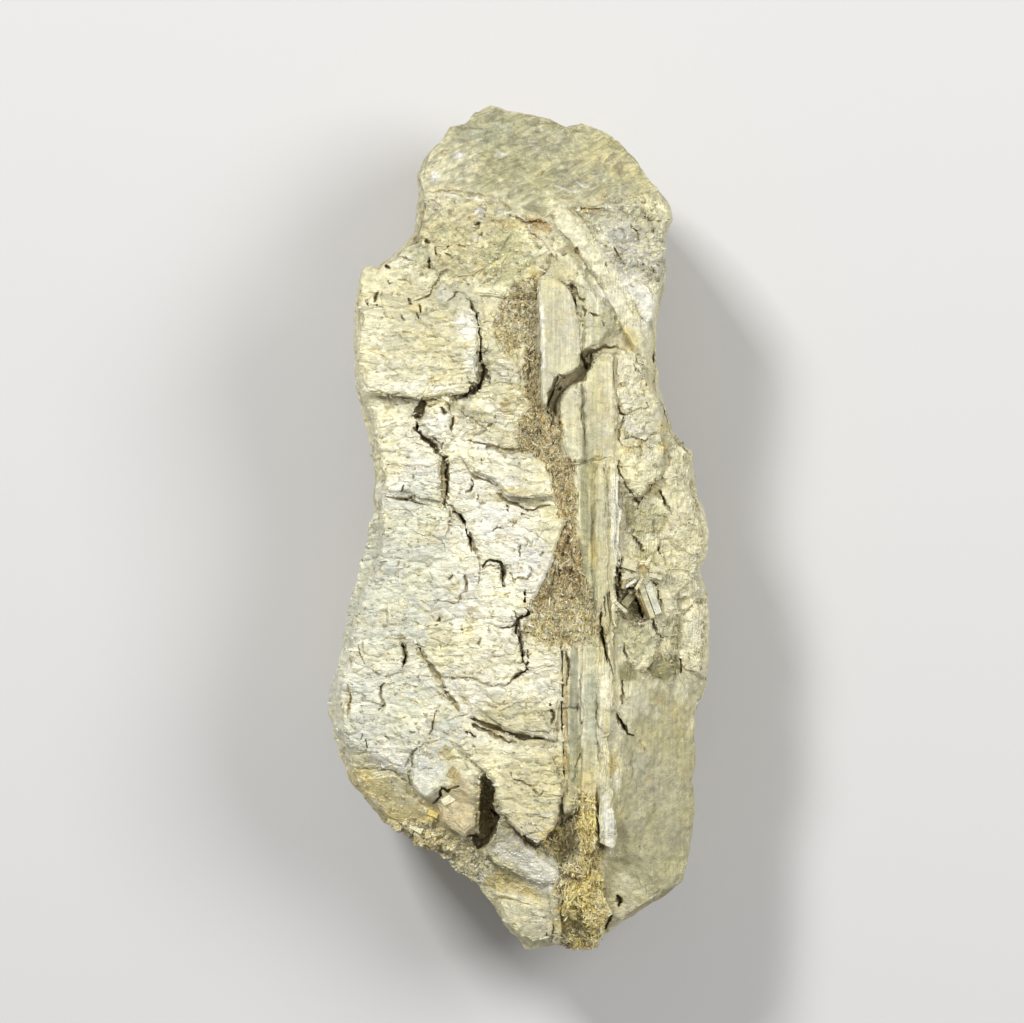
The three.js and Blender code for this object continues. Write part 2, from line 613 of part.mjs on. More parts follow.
function makeSpecimen() {
  const union = (solids) => wasm.Manifold.union(solids);
  const cutters = Object.values(mainFaces).map(makeCutter);
  const blank = union([makeBlank(), ...splinterRows.flatMap(makeRow)])
    .subtract(union(furrowRows.flatMap(makeRow)));
  const body = cutters.reduce((stone, cutter) => stone.subtract(cutter), blank);
  const plated = union([body, ...Object.values(plates).map(makePlate), ...bands.map(makeBand)]);
  const hollowed = plated
    .subtract(union([...Object.values(hollows).map(makeHollow), ...cracks.map(makeCrack)]));
  return union([hollowed, ...crusts.map(makeCrust)]);
}

const pyrite = new THREE.MeshStandardMaterial({
  color: 0xb9ad7c, roughness: 0.45, metalness: 0.75,
});

const specimen = meshFrom(makeSpecimen(), pyrite);
specimen.name = 'pyrite_specimen';
specimen.geometry.computeBoundingBox();
const middle = specimen.geometry.boundingBox.getCenter(new THREE.Vector3());
specimen.position.set(-middle.x, -middle.y, 0);

const model = new THREE.Group();
model.add(specimen);

export default model;
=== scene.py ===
import math
import bpy
import bmesh
import numpy as np
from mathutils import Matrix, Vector


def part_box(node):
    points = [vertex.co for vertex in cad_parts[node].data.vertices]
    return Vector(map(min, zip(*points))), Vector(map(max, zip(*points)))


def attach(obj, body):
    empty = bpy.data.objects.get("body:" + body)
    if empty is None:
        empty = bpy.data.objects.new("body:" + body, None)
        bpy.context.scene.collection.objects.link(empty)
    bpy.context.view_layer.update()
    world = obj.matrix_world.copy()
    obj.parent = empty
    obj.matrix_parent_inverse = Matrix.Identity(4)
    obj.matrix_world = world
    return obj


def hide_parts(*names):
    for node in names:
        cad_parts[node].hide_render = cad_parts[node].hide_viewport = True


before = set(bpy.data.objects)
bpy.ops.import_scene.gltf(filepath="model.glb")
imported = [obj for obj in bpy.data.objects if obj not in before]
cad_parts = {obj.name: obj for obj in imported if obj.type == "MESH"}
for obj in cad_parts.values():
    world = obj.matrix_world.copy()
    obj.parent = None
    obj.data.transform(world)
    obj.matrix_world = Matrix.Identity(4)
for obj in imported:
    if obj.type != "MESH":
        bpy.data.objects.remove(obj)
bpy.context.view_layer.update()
print("stage: frame loaded")

mm = 0.001
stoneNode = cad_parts["pyrite_specimen"]
stoneLow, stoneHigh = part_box("pyrite_specimen")
stoneMiddle = (stoneLow + stoneHigh) / 2
# the stone is worked in mm, X and Y from the middle of its box and Z from the floor
zeroPoint = np.array([stoneMiddle.x, stoneMiddle.y, stoneLow.z])
stoneSize = np.array(stoneHigh - stoneLow) / mm

skin = {
    "frontEdge": 0.26,      # longest triangle edge on the plated front, mm
    "grainEdge": 0.22,      # where the stone is layered or set with small crystals
    "grainGrounds": ("triangle", "groove", "footCrystals", "belowTriangle", "leftFace",
                     "amberCrumbs", "upperRough"),
    "crackEdge": 0.09,      # beside a fine crack
    "crackReach": 0.08,     # how far that fineness spreads from the crack
    "steepEdge": 0.50,      # on walls
    "wallRise": 0.4,        # a face whose normal rises less than this is a wall
    "sideEdge": 0.80,       # on the sides
    "backEdge": 1.4,        # underneath
    "frontStarts": 14.0,    # height above which the front's fineness holds
    "backEnds": 3.0,
    "undersideEnds": 8.0,   # height of the border of the lowest skin piece
    "mostHalvings": 14,
    "mostTriangles": 197000,
    "sharpAngle": 22,       # edges bent more than this stay crisp, degrees
}


def smoothStep(low, high, value):
    t = np.clip((value - low) / (high - low), 0, 1)
    return t * t * (3 - 2 * t)


# noise that gives the same numbers on every run

def scramble(h):
    h = ((h ^ (h >> 13)) * 1103515245 + 12345) & 0x7FFFFFFF
    h = ((h ^ (h >> 15)) * 1597334677) & 0x7FFFFFFF
    return (h ^ (h >> 11)) / 0x3FFFFFFF - 1.0


def cellKeys(cells, seed):
    # whole-numbered cells as one number each, and the steps to the next cell along each axis
    steps = np.array([374761393, 668265263, 1440662683])
    return cells.astype(np.int64) @ steps + seed * 1274126177, steps


def cellValue(cells, seed):
    return scramble(cellKeys(cells, seed)[0] & 0x7FFFFFFF)


def valueNoise(p, seed):
    cell = np.floor(p)
    t = p - cell
    t = t * t * (3 - 2 * t)
    key, steps = cellKeys(cell, seed)
    values = [scramble((key + step) & 0x7FFFFFFF)
              for step in (0, steps[0], steps[1], steps[0] + steps[1],
                           steps[2], steps[0] + steps[2], steps[1] + steps[2], steps.sum())]
    for axis in range(3):
        values = [low + (high - low) * t[:, axis] for low, high in zip(values[::2], values[1::2])]
    return values[0]


def fractalNoise(points, size, seed, octaves=3, stretch=(1, 1, 1)):
    # size is the width of the largest lumps in mm, stretch draws them out along X, Y and Z
    p = points / (np.array(stretch) * size)
    total, strength, whole = 0, 1.0, 0
    for octave in range(octaves):
        total = total + strength * valueNoise(p * 2.03 ** octave + 17.3 * octave, seed + octave)
        whole += strength
        strength *= 0.5
    return total / whole * 1.6


# how far the middle of a chip may lie from the middle of its cell, as a share of the cell
chipJitter = 0.42


def noiseColumns(points, size, seeds, octaves=2):
    # one column of noise for each seed
    return np.column_stack([fractalNoise(points, size, seed, octaves) for seed in seeds])


def chipPattern(points, size, seed, stretch=(1, 1, 1)):
    # the stone parted into irregular chips: each chip's own number, the way from its middle
    # to the point, and how far the point is from the chip's rim
    p = points / (np.array(stretch) * size)
    home = np.floor(p)
    nearest = np.full(len(p), np.inf)
    second = nearest.copy()
    chip = np.zeros(len(p))
    offset = np.zeros_like(p)
    for i in range(27):
        cell = home + np.array([i % 3 - 1, i // 3 % 3 - 1, i // 9 - 1])
        jitter = np.stack([cellValue(cell, seed + k) for k in range(3)], axis=-1)
        away = p - (cell + 0.5 + chipJitter * jitter)
        gap = np.linalg.norm(away, axis=1)
        closer = gap < nearest
        second = np.where(closer, nearest, np.minimum(second, gap))
        nearest = np.where(closer, gap, nearest)
        chip = np.where(closer, cellValue(cell, seed + 3), chip)
        offset = np.where(closer[:, None], away, offset)
    return chip, offset, (second - nearest) / 2


def lineGap(places, line):
    # distance from each place to a line of points, and the line's width at the nearest spot
    line = np.array(line, dtype=float)
    spots = line[:, :2]
    width = line[:, 2] if line.shape[1] > 2 else np.zeros(len(line))
    best = np.full(len(places), np.inf)
    nearWidth = np.zeros(len(places))
    for i in range(len(line) - 1):
        way = spots[i + 1] - spots[i]
        t = np.clip((places - spots[i]) @ way / (way @ way), 0, 1)
        gap = np.linalg.norm(places - spots[i] - t[:, None] * way, axis=1)
        nearer = gap < best
        best = np.where(nearer, gap, best)
        nearWidth = np.where(nearer, width[i] + t * (width[i + 1] - width[i]), nearWidth)
    return best, nearWidth


def insideGap(places, outline):
    # distance from each place to a closed outline, positive inside it
    outline = np.array(outline, dtype=float)
    gap = lineGap(places, np.vstack([outline, outline[:1]]))[0]
    x, y = places[:, 0], places[:, 1]
    inside = np.zeros(len(places), dtype=bool)
    for (ax, ay), (bx, by) in zip(outline, np.roll(outline, -1, axis=0)):
        crosses = (ay > y) != (by > y)
        if ay != by:
            inside ^= crosses & (x < (bx - ax) * (y - ay) / (by - ay) + ax)
    return np.where(inside, gap, -gap)


# grounds: parts of the front that broke or grew in their own way, seen from above: half the
# width of the border and the outline, mm
grounds = {
    "cap": (0.4, [
        (-9.6, 28.4), (-7, 28.6), (-4.8, 28.5), (-1.7, 28), (-0.7, 26.9), (1.2, 26.4), (2.6, 27),
        (5, 27.5), (8.2, 28), (13, 28.3), (13, 31), (8, 37), (-3, 39), (-9.5, 34)]),
    "blade": (0.2, [
        (1.9, 20.7), (2.5, 21.7), (3.6, 22.2), (5.2, 19.4), (5.4, 18), (4.9, 14.5), (4.4, 13.3),
        (3.2, 12.5), (2.5, 11.6), (2.2, 10), (1.9, 12), (1.6, 16), (1.5, 19)]),
    "fan": (0.25, [
        (3.2, 23), (4.4, 22.8), (6.6, 20.6), (7.9, 19), (7.9, 17.4), (7, 15), (5.1, 14.6),
        (4.9, 16), (5.4, 18), (5, 20), (4, 21.6)]),
    "bands": (0.35, [
        (3.7, 11.2), (4.2, 12), (5, 12.3), (6.2, 13.4), (8.4, 14.8), (8.5, 9), (8.8, 0), (8.6, -8),
        (8, -13), (7.9, -21), (7, -29), (6.4, -25.5), (4.6, -24.2), (4.3, -9), (6.3, -6.4),
        (5.3, -1), (4.8, 2), (3.6, 6)]),
    "leftFace": (0.5, [
        (-15, 20), (-9, 20.4), (-5, 18.4), (-2.4, 18.6), (-1.8, 15), (0.2, 14), (0.8, 10), (0, 7),
        (1.9, 5.6), (3.2, 2), (1.2, -6.8), (3.6, -9.5), (3.8, -24), (1.6, -27), (-2, -24),
        (-5, -20), (-10, -21), (-18, -19.6), (-18, -5)]),
    "rightPlates": (0.5, [
        (8.6, 14.8), (11.5, 15), (17, 4), (17, -13), (13, -13.2), (8.6, -12)]),
    "lowerRight": (0.5, [
        (8.1, -12.6), (13, -13.2), (17, -12), (16, -31), (9, -35), (8.4, -28)]),
    "upperRough": (0.4, [
        (-9.8, 28.4), (-3, 28), (-0.8, 27), (0.4, 26.1), (2.6, 25.7), (4.2, 24.2), (2.6, 22.2),
        (1.6, 19.4), (-2, 20.6), (-4, 20.4), (-7.4, 20), (-10, 21.4), (-14, 22)]),
    "upperRightRough": (0.4, [
        (5, 27.5), (8, 28), (12.6, 28.2), (13.5, 26.5), (12.6, 19.6), (11, 20), (9.6, 20.6),
        (8, 21.8), (7, 23.5), (5.2, 25.8)]),
    "amberCrumbs": (0.25, [
        (-2.1, 17), (-1.4, 19.6), (-0.4, 20.7), (1.4, 21.4), (1.9, 20.6), (1.4, 19), (1.3, 16.3),
        (0.3, 16.3), (-0.2, 14.6), (-1.4, 14.8)]),
    "triangle": (0.12, [
        (4.3, 1.2), (3.6, -0.9), (2.9, -2.8), (1.4, -6.4), (1.6, -7.3), (6, -6.4), (6, -5),
        (5.2, -2.4), (4.8, -0.6)]),
    "groove": (0.12, [
        (0.35, 15.9), (0.7, 16.2), (1.3, 16.1), (1.75, 13.2), (1.9, 10.4), (2.4, 9.7), (3.4, 9.4),
        (3.6, 7.5), (3.5, 5.2), (4.1, 5.9), (4.8, 5.3), (4.6, 3), (4.9, 0.4), (4.1, 0.2),
        (3.3, 2), (2.7, 4.9), (1.2, 6.3), (0, 6.4), (0, 9), (0.9, 10), (0.5, 11.8),
        (0.3, 13.6)]),
    "grooveCrystals": (0.3, [
        (1.9, 10.6), (2.4, 9.7), (3.4, 9.4), (3.6, 7.5), (3.5, 5.2), (4.1, 5.9), (4.8, 5.3),
        (4.6, 3), (4.9, 0.4), (4.1, 0.2), (3.3, 2), (2.7, 4.9), (1.2, 6.3), (0, 6.4), (0, 9),
        (0.9, 9.6)]),
    "belowTriangle": (0.9, [
        (1.3, -6.9), (6.2, -6.6), (7.2, -8.4), (6, -9.4), (4.2, -10), (2.6, -9.6), (0.6, -8.8)]),
    "footCrystals": (0.2, [
        (4.4, -24.6), (5, -22), (6.4, -22.8), (6.8, -26), (7.1, -30.4), (7, -33), (6.8, -36.5),
        (3.8, -36.5), (3.9, -32.4), (3.2, -31), (3.5, -29.8), (4.1, -28.4), (1.6, -27.3),
        (2.8, -26.2)]),
    "diagonalBand": (0.3, [
        (3.2, 27.4), (4.4, 27.2), (6.2, 25.2), (7.8, 22.8), (9.4, 20.6), (10.4, 18.8), (11.2, 16.6),
        (8.1, 16.8), (7.4, 18.8), (5.9, 21.4), (4.6, 23.2), (2.4, 25.8)]),
    "lowBlades": (0.25, [
        (7.4, -8), (8.8, -12), (8.8, -21), (8.8, -28), (7.2, -28), (6.8, -22), (6.8, -12)]),
    "holes": (0.15, [
        (-3.7, -21.3), (-2.9, -20.8), (-2, -21.8), (-1.95, -23.9), (-1.4, -24.9), (-2.4, -26),
        (-3.3, -27), (-4.6, -26.6), (-3.7, -25.9)]),
    "cavity": (0.15, [
        (8.4, -3), (8.2, -4.6), (8.1, -6), (8.3, -6.9), (9.2, -7.6), (9.7, -8.1), (10.6, -8.1),
        (11, -7.7), (10.5, -6.3), (10.1, -5.1), (9.2, -5.2), (8.8, -4.4)]),
    "slope": (0.25, [
        (-15.4, -19.9), (-13.4, -20.5), (-10.8, -20.9), (-9.2, -21.6), (-8.3, -22.9),
        (-7.2, -23.4), (-7.4, -24.4), (-10, -25), (-13, -25)]),
    "lowerLeft": (0.4, [
        (-13, -24.2), (-10, -25), (-7.4, -24.3), (-6.6, -25.7), (-4.6, -26.4), (-3.4, -27.3),
        (-2.6, -28.4), (-3.2, -31), (-9, -29), (-14, -26)]),
    "foot": (0.3, [
        (-3, -28), (-1.8, -26), (1, -27.2), (3.8, -28.3), (3.4, -31), (3.7, -36.5), (-1, -36.5),
        (-4, -31)]),
}

# fine cracks and pits that part the plates: tone (laid into the crack as painted shade), depth and
# lines, where each point of a line is X, Y and the crack's width there, mm
splits = {
    "shoulderCrack": ("shadeBlack", 0.7, [
        [(-3.9, 19.2, 0.1), (-3.7, 18.6, 0.3), (-3.4, 18.1, 0.3), (-3.4, 17.4, 0.14),
         (-3.2, 16, 0.16), (-3.2, 15.2, 0.22), (-3.1, 14.2, 0.35), (-2.9, 13.3, 0.4),
         (-2.9, 12.5, 0.4), (-3.4, 11.8, 0.5), (-3.9, 11.4, 0.5), (-4.3, 11, 0.3),
         (-4.9, 10.7, 0.12)],
        [(-2.9, 13.2, 0.1), (-2.5, 12.7, 0.12), (-2.4, 12.2, 0.06)],
        [(-4, 12.2, 0.1), (-3.7, 11.8, 0.2)]]),
    "shoulderPits": ("shadeBlack", 0.5, [
        [(-11.9, 19.8, 0.16), (-11.9, 19.3, 0.24), (-12, 18.9, 0.16)],
        [(-11.9, 18.8, 0.1), (-11.8, 18.6, 0.12)],
        [(-12.7, 19.1, 0.16), (-12.6, 18.8, 0.2)],
        [(-9.2, 19.3, 0.16), (-9, 18.9, 0.24)],
        [(-8.1, 18.7, 0.14), (-8, 18.3, 0.2)],
        [(-8.4, 18.1, 0.12), (-8.3, 17.8, 0.18)],
        [(-9.7, 17.8, 0.1), (-9.6, 17.5, 0.14)]]),
    "browCrack": ("bark", 0.45, [
        [(-6.1, 21.8, 0.06), (-6.6, 21.3, 0.1), (-6.7, 21, 0.16), (-7, 20.5, 0.14),
         (-7.2, 20, 0.08), (-7.5, 19.4, 0.14), (-8, 19.1, 0.14), (-8.6, 19, 0.05)],
        [(-5.2, 19.9, 0.14), (-5.6, 19.4, 0.12), (-5.9, 19, 0.05)],
        [(-10.3, 23, 0.05), (-9.6, 22.7, 0.1), (-9, 22.5, 0.05)],
        [(-10, 20.9, 0.05), (-9.4, 20.8, 0.1), (-9, 20.5, 0.05)],
        [(-13.3, 18.2, 0.06), (-13, 17.5, 0.12), (-12.9, 16.9, 0.05)]]),
    "browPits": ("shadeBlack", 0.5, [
        [(-7.8, 24.1, 0.2), (-7.6, 24, 0.24)],
        [(-7.6, 22.8, 0.1), (-7.5, 22.4, 0.26), (-7.4, 21.9, 0.2)],
        [(-6.9, 23.6, 0.12), (-6.9, 23, 0.18)],
        [(-6, 23.6, 0.14), (-5.7, 23.8, 0.16)],
        [(-5.9, 23.1, 0.14), (-5.6, 22.9, 0.14)],
        [(-3.4, 25.4, 0.2), (-3.2, 25.6, 0.16)],
        [(-3, 24.8, 0.1), (-3.1, 24.4, 0.14)],
        [(-11, 22.1, 0.22), (-10.9, 22, 0.24)],
        [(-4.9, 23.8, 0.1), (-4.4, 23.7, 0.1)],
        [(-10.9, 20.7, 0.1), (-10.8, 20.5, 0.14)]]),
    "capLines": ("bark", 0.18, [
        [(2, 30.1, 0.12), (1.9, 29.7, 0.2)],
        [(3.6, 30.2, 0.16), (3.8, 30.1, 0.12)],
        [(-7.4, 27.8, 0.14), (-6.9, 27.4, 0.08), (-6.6, 27, 0.1)],
        [(-4.2, 28, 0.1), (-4.2, 27.8, 0.14)],
        [(1.8, 34.4, 0.1), (3, 34.4, 0.14), (3.9, 34, 0.06)],
        [(2, 33.2, 0.06), (2.9, 32.6, 0.1), (3.6, 32.4, 0.1), (4.2, 33.2, 0.08),
         (5, 34, 0.05)],
        [(-8.6, 28.4, 0.05), (-7, 28.6, 0.1), (-4.8, 28.4, 0.12), (-3, 28.1, 0.12),
         (-1.7, 27.9, 0.1), (-1, 27.2, 0.14), (-0.6, 26.7, 0.08)]]),
    "ledgeLine": ("bark", 0.35, [
        [(-0.8, 26.4, 0.1), (0.2, 26.1, 0.16), (0.9, 25.6, 0.2), (1.6, 25.7, 0.25),
         (2.4, 25.6, 0.12)],
        [(1, 24.9, 0.1), (1.6, 24.6, 0.2)],
        [(5.4, 26.8, 0.1), (6.6, 26.9, 0.12), (7.4, 26.8, 0.06)]]),
    "upperRightPits": ("bark", 0.4, [
        [(8, 23.7, 0.1), (8.3, 23.2, 0.2), (8.6, 22.8, 0.14), (9, 22.2, 0.1)],
        [(9.5, 25.4, 0.14), (9.9, 25.1, 0.24), (10.2, 24.4, 0.06)],
        [(10.9, 26.3, 0.16), (11.2, 26.1, 0.16)],
        [(11.8, 26.1, 0.14), (11.9, 26, 0.14)],
        [(11.4, 25.2, 0.1), (11.5, 24.9, 0.12)],
        [(11.1, 22, 0.1), (11.5, 21.6, 0.14)],
        [(8.5, 25.4, 0.08), (8.8, 25, 0.1)],
        [(7.4, 22.5, 0.08), (7.6, 22.1, 0.12)],
        [(10.4, 22.3, 0.16), (10.5, 22.2, 0.12)]]),
    "bladeCrumbs": ("bark", 0.45, [
        [(4.6, 20.4, 0.12), (5, 20, 0.2), (5.2, 19.5, 0.16), (5.5, 19.2, 0.18)],
        [(5.4, 18.7, 0.08), (5.7, 18.2, 0.2), (5.6, 17.8, 0.08)],
        [(6.2, 18, 0.16), (6.5, 17.8, 0.2), (6.9, 17.7, 0.06)],
        [(5, 23.6, 0.16), (5.1, 23.2, 0.1)],
        [(7, 17.4, 0.05), (7.2, 17, 0.12)]]),
    "bladeBranch": ("bark", 0.6, [
        [(5.3, 14.5, 0.25), (5.5, 14, 0.3), (5.7, 13.5, 0.2)],
        [(5.5, 14.5, 0.1), (6.3, 14.7, 0.2), (7.1, 15, 0.18), (8, 15.1, 0.1), (8.8, 15, 0.04)],
        [(5.9, 13.9, 0.05), (6.5, 14, 0.08)],
        [(3.4, 12.6, 0.2), (2.9, 12, 0.35), (2.7, 11.2, 0.35), (2.5, 10.3, 0.25),
         (2.4, 9.7, 0.1)],
        [(3.6, 12.8, 0.12), (3.8, 12.7, 0.16)],
        [(3.2, 11.6, 0.1), (3.5, 11.7, 0.2)]]),
    "stripLines": ("bark", 0.25, [
        [(-0.9, 13.5, 0.05), (-0.7, 12.5, 0.12), (-0.3, 11.5, 0.08)],
        [(-1.2, 19.5, 0.1), (-1.4, 18.8, 0.16), (-1.2, 17.9, 0.12), (-1.2, 16.9, 0.1)],
        [(-0.4, 20.4, 0.16), (0.2, 20.2, 0.28), (-0.2, 19.8, 0.2)],
        [(-0.2, 19.2, 0.1), (-0.6, 18.4, 0.12), (-0.8, 17.8, 0.06)],
        [(-0.8, 15.4, 0.1), (-0.6, 14.9, 0.14)]]),
    "blockSeam": ("bark", 0.35, [
        [(-12, 11.4, 0.05), (-10.6, 11.2, 0.12), (-9.7, 11, 0.1), (-8.6, 10.9, 0.1),
         (-7.6, 10.6, 0.14), (-6.9, 10.7, 0.16)],
        [(-6.9, 11, 0.1), (-5.9, 11.1, 0.16), (-5, 11, 0.1)]]),
    "chalkHoles": ("shadeBlack", 0.5, [
        [(-6, 10.4, 0.1), (-5.9, 9.9, 0.14)],
        [(-6.3, 9.8, 0.16), (-6.2, 9.5, 0.24)],
        [(-5.6, 9.2, 0.13), (-5.6, 8.1, 0.13)],
        [(-6.3, 7, 0.14), (-6.3, 6.5, 0.14)]]),
    "holeChannel": ("bark", 0.45, [
        [(-8.7, 8.5, 0.25), (-8.2, 8, 0.28), (-7.9, 7.5, 0.32), (-7.5, 7.1, 0.3),
         (-7.2, 6.7, 0.4), (-6.7, 6.3, 0.3)],
        [(-7.2, 7.5, 0.05), (-6.7, 7.2, 0.12)]]),
    "slotEdge": ("shadeBlack", 0.5, [
        [(-6, 5.8, 0.2), (-6, 4.4, 0.18), (-5.95, 3.4, 0.24), (-6, 2, 0.12)]]),
    "slotFoot": ("bark", 0.4, [
        [(-6, 1.75, 0.1), (-5.5, 1.7, 0.14), (-5.2, 1.3, 0.18), (-4.9, 1.1, 0.2),
         (-4.6, 0.8, 0.3), (-4.5, 0.3, 0.22), (-4.4, -0.2, 0.16)],
        [(-3.9, -0.3, 0.12), (-3.9, -0.9, 0.3), (-3.8, -1.4, 0.4), (-3.6, -1.8, 0.4),
         (-3.3, -2, 0.1)],
        [(-3.5, -2, 0.12), (-3.3, -2.9, 0.12), (-3.2, -3.6, 0.1)],
        [(-5.9, 1.5, 0.08), (-5.8, 0.9, 0.14), (-5.8, 0.2, 0.1), (-5.9, -0.3, 0.1),
         (-6.05, -0.8, 0.06)],
        [(-6.6, 1.75, 0.1), (-7.5, 1.9, 0.08), (-8.3, 2, 0.16), (-8.6, 2.1, 0.22),
         (-9, 2.5, 0.25), (-9.3, 2.4, 0.12), (-10.4, 2.6, 0.05)],
        [(-8.7, 2.5, 0.1), (-8.6, 2.9, 0.1)]]),
    "leafLines": ("bark", 0.35, [
        [(-4.1, 7.35, 0.1), (-3.3, 7.1, 0.16), (-2.4, 6.8, 0.26), (-1.6, 6.7, 0.34),
         (-0.6, 6.6, 0.28), (0.6, 6.4, 0.25)],
        [(-1.1, 6.4, 0.2), (-1, 6.1, 0.14)],
        [(-2.4, 8.4, 0.12), (-1.9, 9, 0.12), (-1.8, 9.5, 0.08)],
        [(-5, 9.9, 0.05), (-4, 9.2, 0.1), (-3.2, 8.5, 0.14), (-2.6, 8.3, 0.06)],
        [(-5, 6, 0.08), (-4.6, 5.4, 0.1), (-4.1, 4.6, 0.1), (-3.6, 4.1, 0.2),
         (-2.9, 4, 0.2), (-2.1, 3.7, 0.08)],
        [(-1.8, 3, 0.12), (-0.9, 2.3, 0.2), (0.2, 1.8, 0.25), (1.4, 1.6, 0.2),
         (2.6, 1.9, 0.14)],
        [(-0.2, 0.6, 0.1), (-0.4, 0.2, 0.12)],
        [(0.2, 1.2, 0.2), (0.5, 1.1, 0.1)]]),
    "heartPits": ("shadeBlack", 0.5, [
        [(-3.9, 4, 0.1), (-3.85, 3.6, 0.26), (-3.95, 3.2, 0.2), (-4.4, 3, 0.1)],
        [(-9.7, 3.5, 0.14), (-9.65, 3.2, 0.14)],
        [(-8.9, 4.5, 0.08), (-8.9, 4.3, 0.1)],
        [(-3.25, 2.7, 0.12), (-3.3, 2.4, 0.12)],
        [(-1.05, 1.8, 0.12), (-1.05, 1.3, 0.14)],
        [(-2.2, -0.3, 0.1), (-1.8, -0.1, 0.14), (-1.4, -0.2, 0.12)],
        [(0.2, -1.5, 0.1), (0.25, -2.3, 0.12), (0.2, -2.9, 0.04)],
        [(2, -2, 0.14), (1.9, -2.4, 0.1)],
        [(-3, 5.9, 0.08), (-3.1, 5.5, 0.1)]]),
    "cubeCracks": ("bark", 0.45, [
        [(-5.6, -4.1, 0.16), (-5.8, -4.4, 0.12)],
        [(-4.4, -4, 0.14), (-4.45, -4.6, 0.18), (-4.4, -5.2, 0.16), (-4.8, -5.4, 0.06),
         (-4.9, -5.8, 0.14), (-5, -6.2, 0.12), (-5.7, -6.3, 0.1), (-7.1, -6.1, 0.04)],
        [(-3.25, -3.9, 0.1), (-3.25, -4.7, 0.1)],
        [(-1.4, -3.9, 0.3), (-1.3, -4.9, 0.26)],
        [(-3.2, -3.7, 0.06), (-2.3, -3.2, 0.1), (-1.5, -3.5, 0.16)],
        [(-0.5, -3.9, 0.12), (-0.4, -4.5, 0.14), (-0.3, -4.8, 0.06)],
        [(-0.4, -4.4, 0.1), (0, -4.25, 0.13), (0.9, -4.3, 0.12), (1.2, -4.1, 0.1),
         (1.2, -3.6, 0.06)],
        [(0.7, -5.2, 0.1), (0.6, -6, 0.18), (0.65, -6.8, 0.22), (0.8, -7.2, 0.16),
         (0.2, -7.7, 0.14)],
        [(-1.3, -5.7, 0.05), (-0.8, -5.5, 0.06)]]),
    "starCracks": ("shadeBlack", 0.55, [
        [(-0.3, -6.9, 0.06), (0, -7.6, 0.16), (0, -8.1, 0.26), (0.3, -8.8, 0.26),
         (0.3, -9.5, 0.3), (0.1, -9.8, 0.1)],
        [(0.1, -7.9, 0.2), (-0.4, -8.3, 0.2), (-1.2, -8.4, 0.14), (-1.9, -8.2, 0.06)],
        [(0.5, -8.9, 0.14), (1.4, -9.05, 0.12), (2.6, -9.4, 0.12), (3.4, -9.5, 0.06)],
        [(0.3, -9.9, 0.14), (0.5, -10.5, 0.24), (0.4, -11.2, 0.2), (0.1, -11.6, 0.1)],
        [(0.9, -10.3, 0.08), (1, -11.1, 0.22), (0.8, -11.8, 0.2), (0.4, -12.3, 0.22),
         (-0.2, -12.8, 0.2), (-0.9, -13.2, 0.06)]]),
    "lowerCracks": ("bark", 0.45, [
        [(-6.6, -7.5, 0.16), (-6.8, -7.9, 0.2), (-6.95, -8.3, 0.14)],
        [(-4.8, -8.4, 0.08), (-4.8, -8.8, 0.16), (-4.9, -9.2, 0.08)],
        [(-3.2, -9.3, 0.08), (-3.25, -9.8, 0.16), (-3.4, -10.2, 0.08)],
        [(-9.6, -10, 0.16), (-9.6, -10.6, 0.3), (-9.65, -11.1, 0.26), (-9.9, -11.8, 0.1)],
        [(-13.4, -9.9, 0.04), (-13.3, -10.5, 0.1), (-12.9, -11.5, 0.08)],
        [(-13.6, -7.8, 0.04), (-13.6, -7.2, 0.08), (-13.2, -7, 0.05)],
        [(-14.35, -13.2, 0.05), (-14.2, -14.4, 0.1), (-14.3, -15, 0.16), (-14.5, -15.9, 0.08)],
        [(-11.2, -13.1, 0.08), (-11.5, -13.5, 0.2), (-11.5, -14.1, 0.12),
         (-11.3, -14.8, 0.16), (-11.9, -15.3, 0.1)],
        [(-6.6, -15.2, 0.08), (-7, -15.8, 0.1), (-7.2, -16.5, 0.14), (-7.2, -17.1, 0.16),
         (-7.5, -17.7, 0.08)],
        [(-13.2, -17.3, 0.12), (-13.3, -17.8, 0.08)],
        [(-12.8, -17.8, 0.14), (-12.75, -18.4, 0.24), (-12.8, -18.9, 0.1)],
        [(-11.3, -17.7, 0.14), (-11, -17.9, 0.1)],
        [(-10.2, -17.6, 0.08), (-9.9, -17.4, 0.05)],
        [(-9, -17.1, 0.12), (-8.7, -17.2, 0.1)],
        [(-14.9, -19.9, 0.08), (-13.5, -20.4, 0.08), (-12, -20.4, 0.05),
         (-10.4, -20.9, 0.1), (-9.4, -21.3, 0.08)]]),
    "slabEdge": ("moss", 0.3, [
        [(-8.6, -18.6, 0.2), (-9.1, -18.9, 0.3), (-9.2, -19.4, 0.22), (-9.1, -20, 0.18),
         (-9.2, -20.8, 0.2), (-9.1, -21.8, 0.08)],
        [(-9.3, -19.4, 0.15), (-9.6, -20.2, 0.12)]]),
    "seam": ("tan", 0.2, [
        [(-11.1, -9.2, 0.1), (-10.2, -9.4, 0.14), (-9.5, -9.4, 0.3)],
        [(-8.5, -10.3, 0.3), (-8, -11, 0.35), (-7.5, -11.7, 0.45), (-6.9, -12.5, 0.5),
         (-6.4, -13.3, 0.4), (-6.1, -14, 0.4), (-5.6, -14.7, 0.35), (-5, -15.2, 0.3)]]),
    "seamCore": ("bark", 0.3, [
        [(-8.3, -10, 0.12), (-8.2, -10.6, 0.14)],
        [(-6.9, -13.7, 0.08), (-6.2, -14.4, 0.12), (-5.6, -14.8, 0.12), (-5.1, -15.2, 0.1)]]),
    "layerLines": ("moss", 0.25, [
        [(-9, -7.9, 0.04), (-8.4, -8.2, 0.14), (-7.6, -8.4, 0.08)],
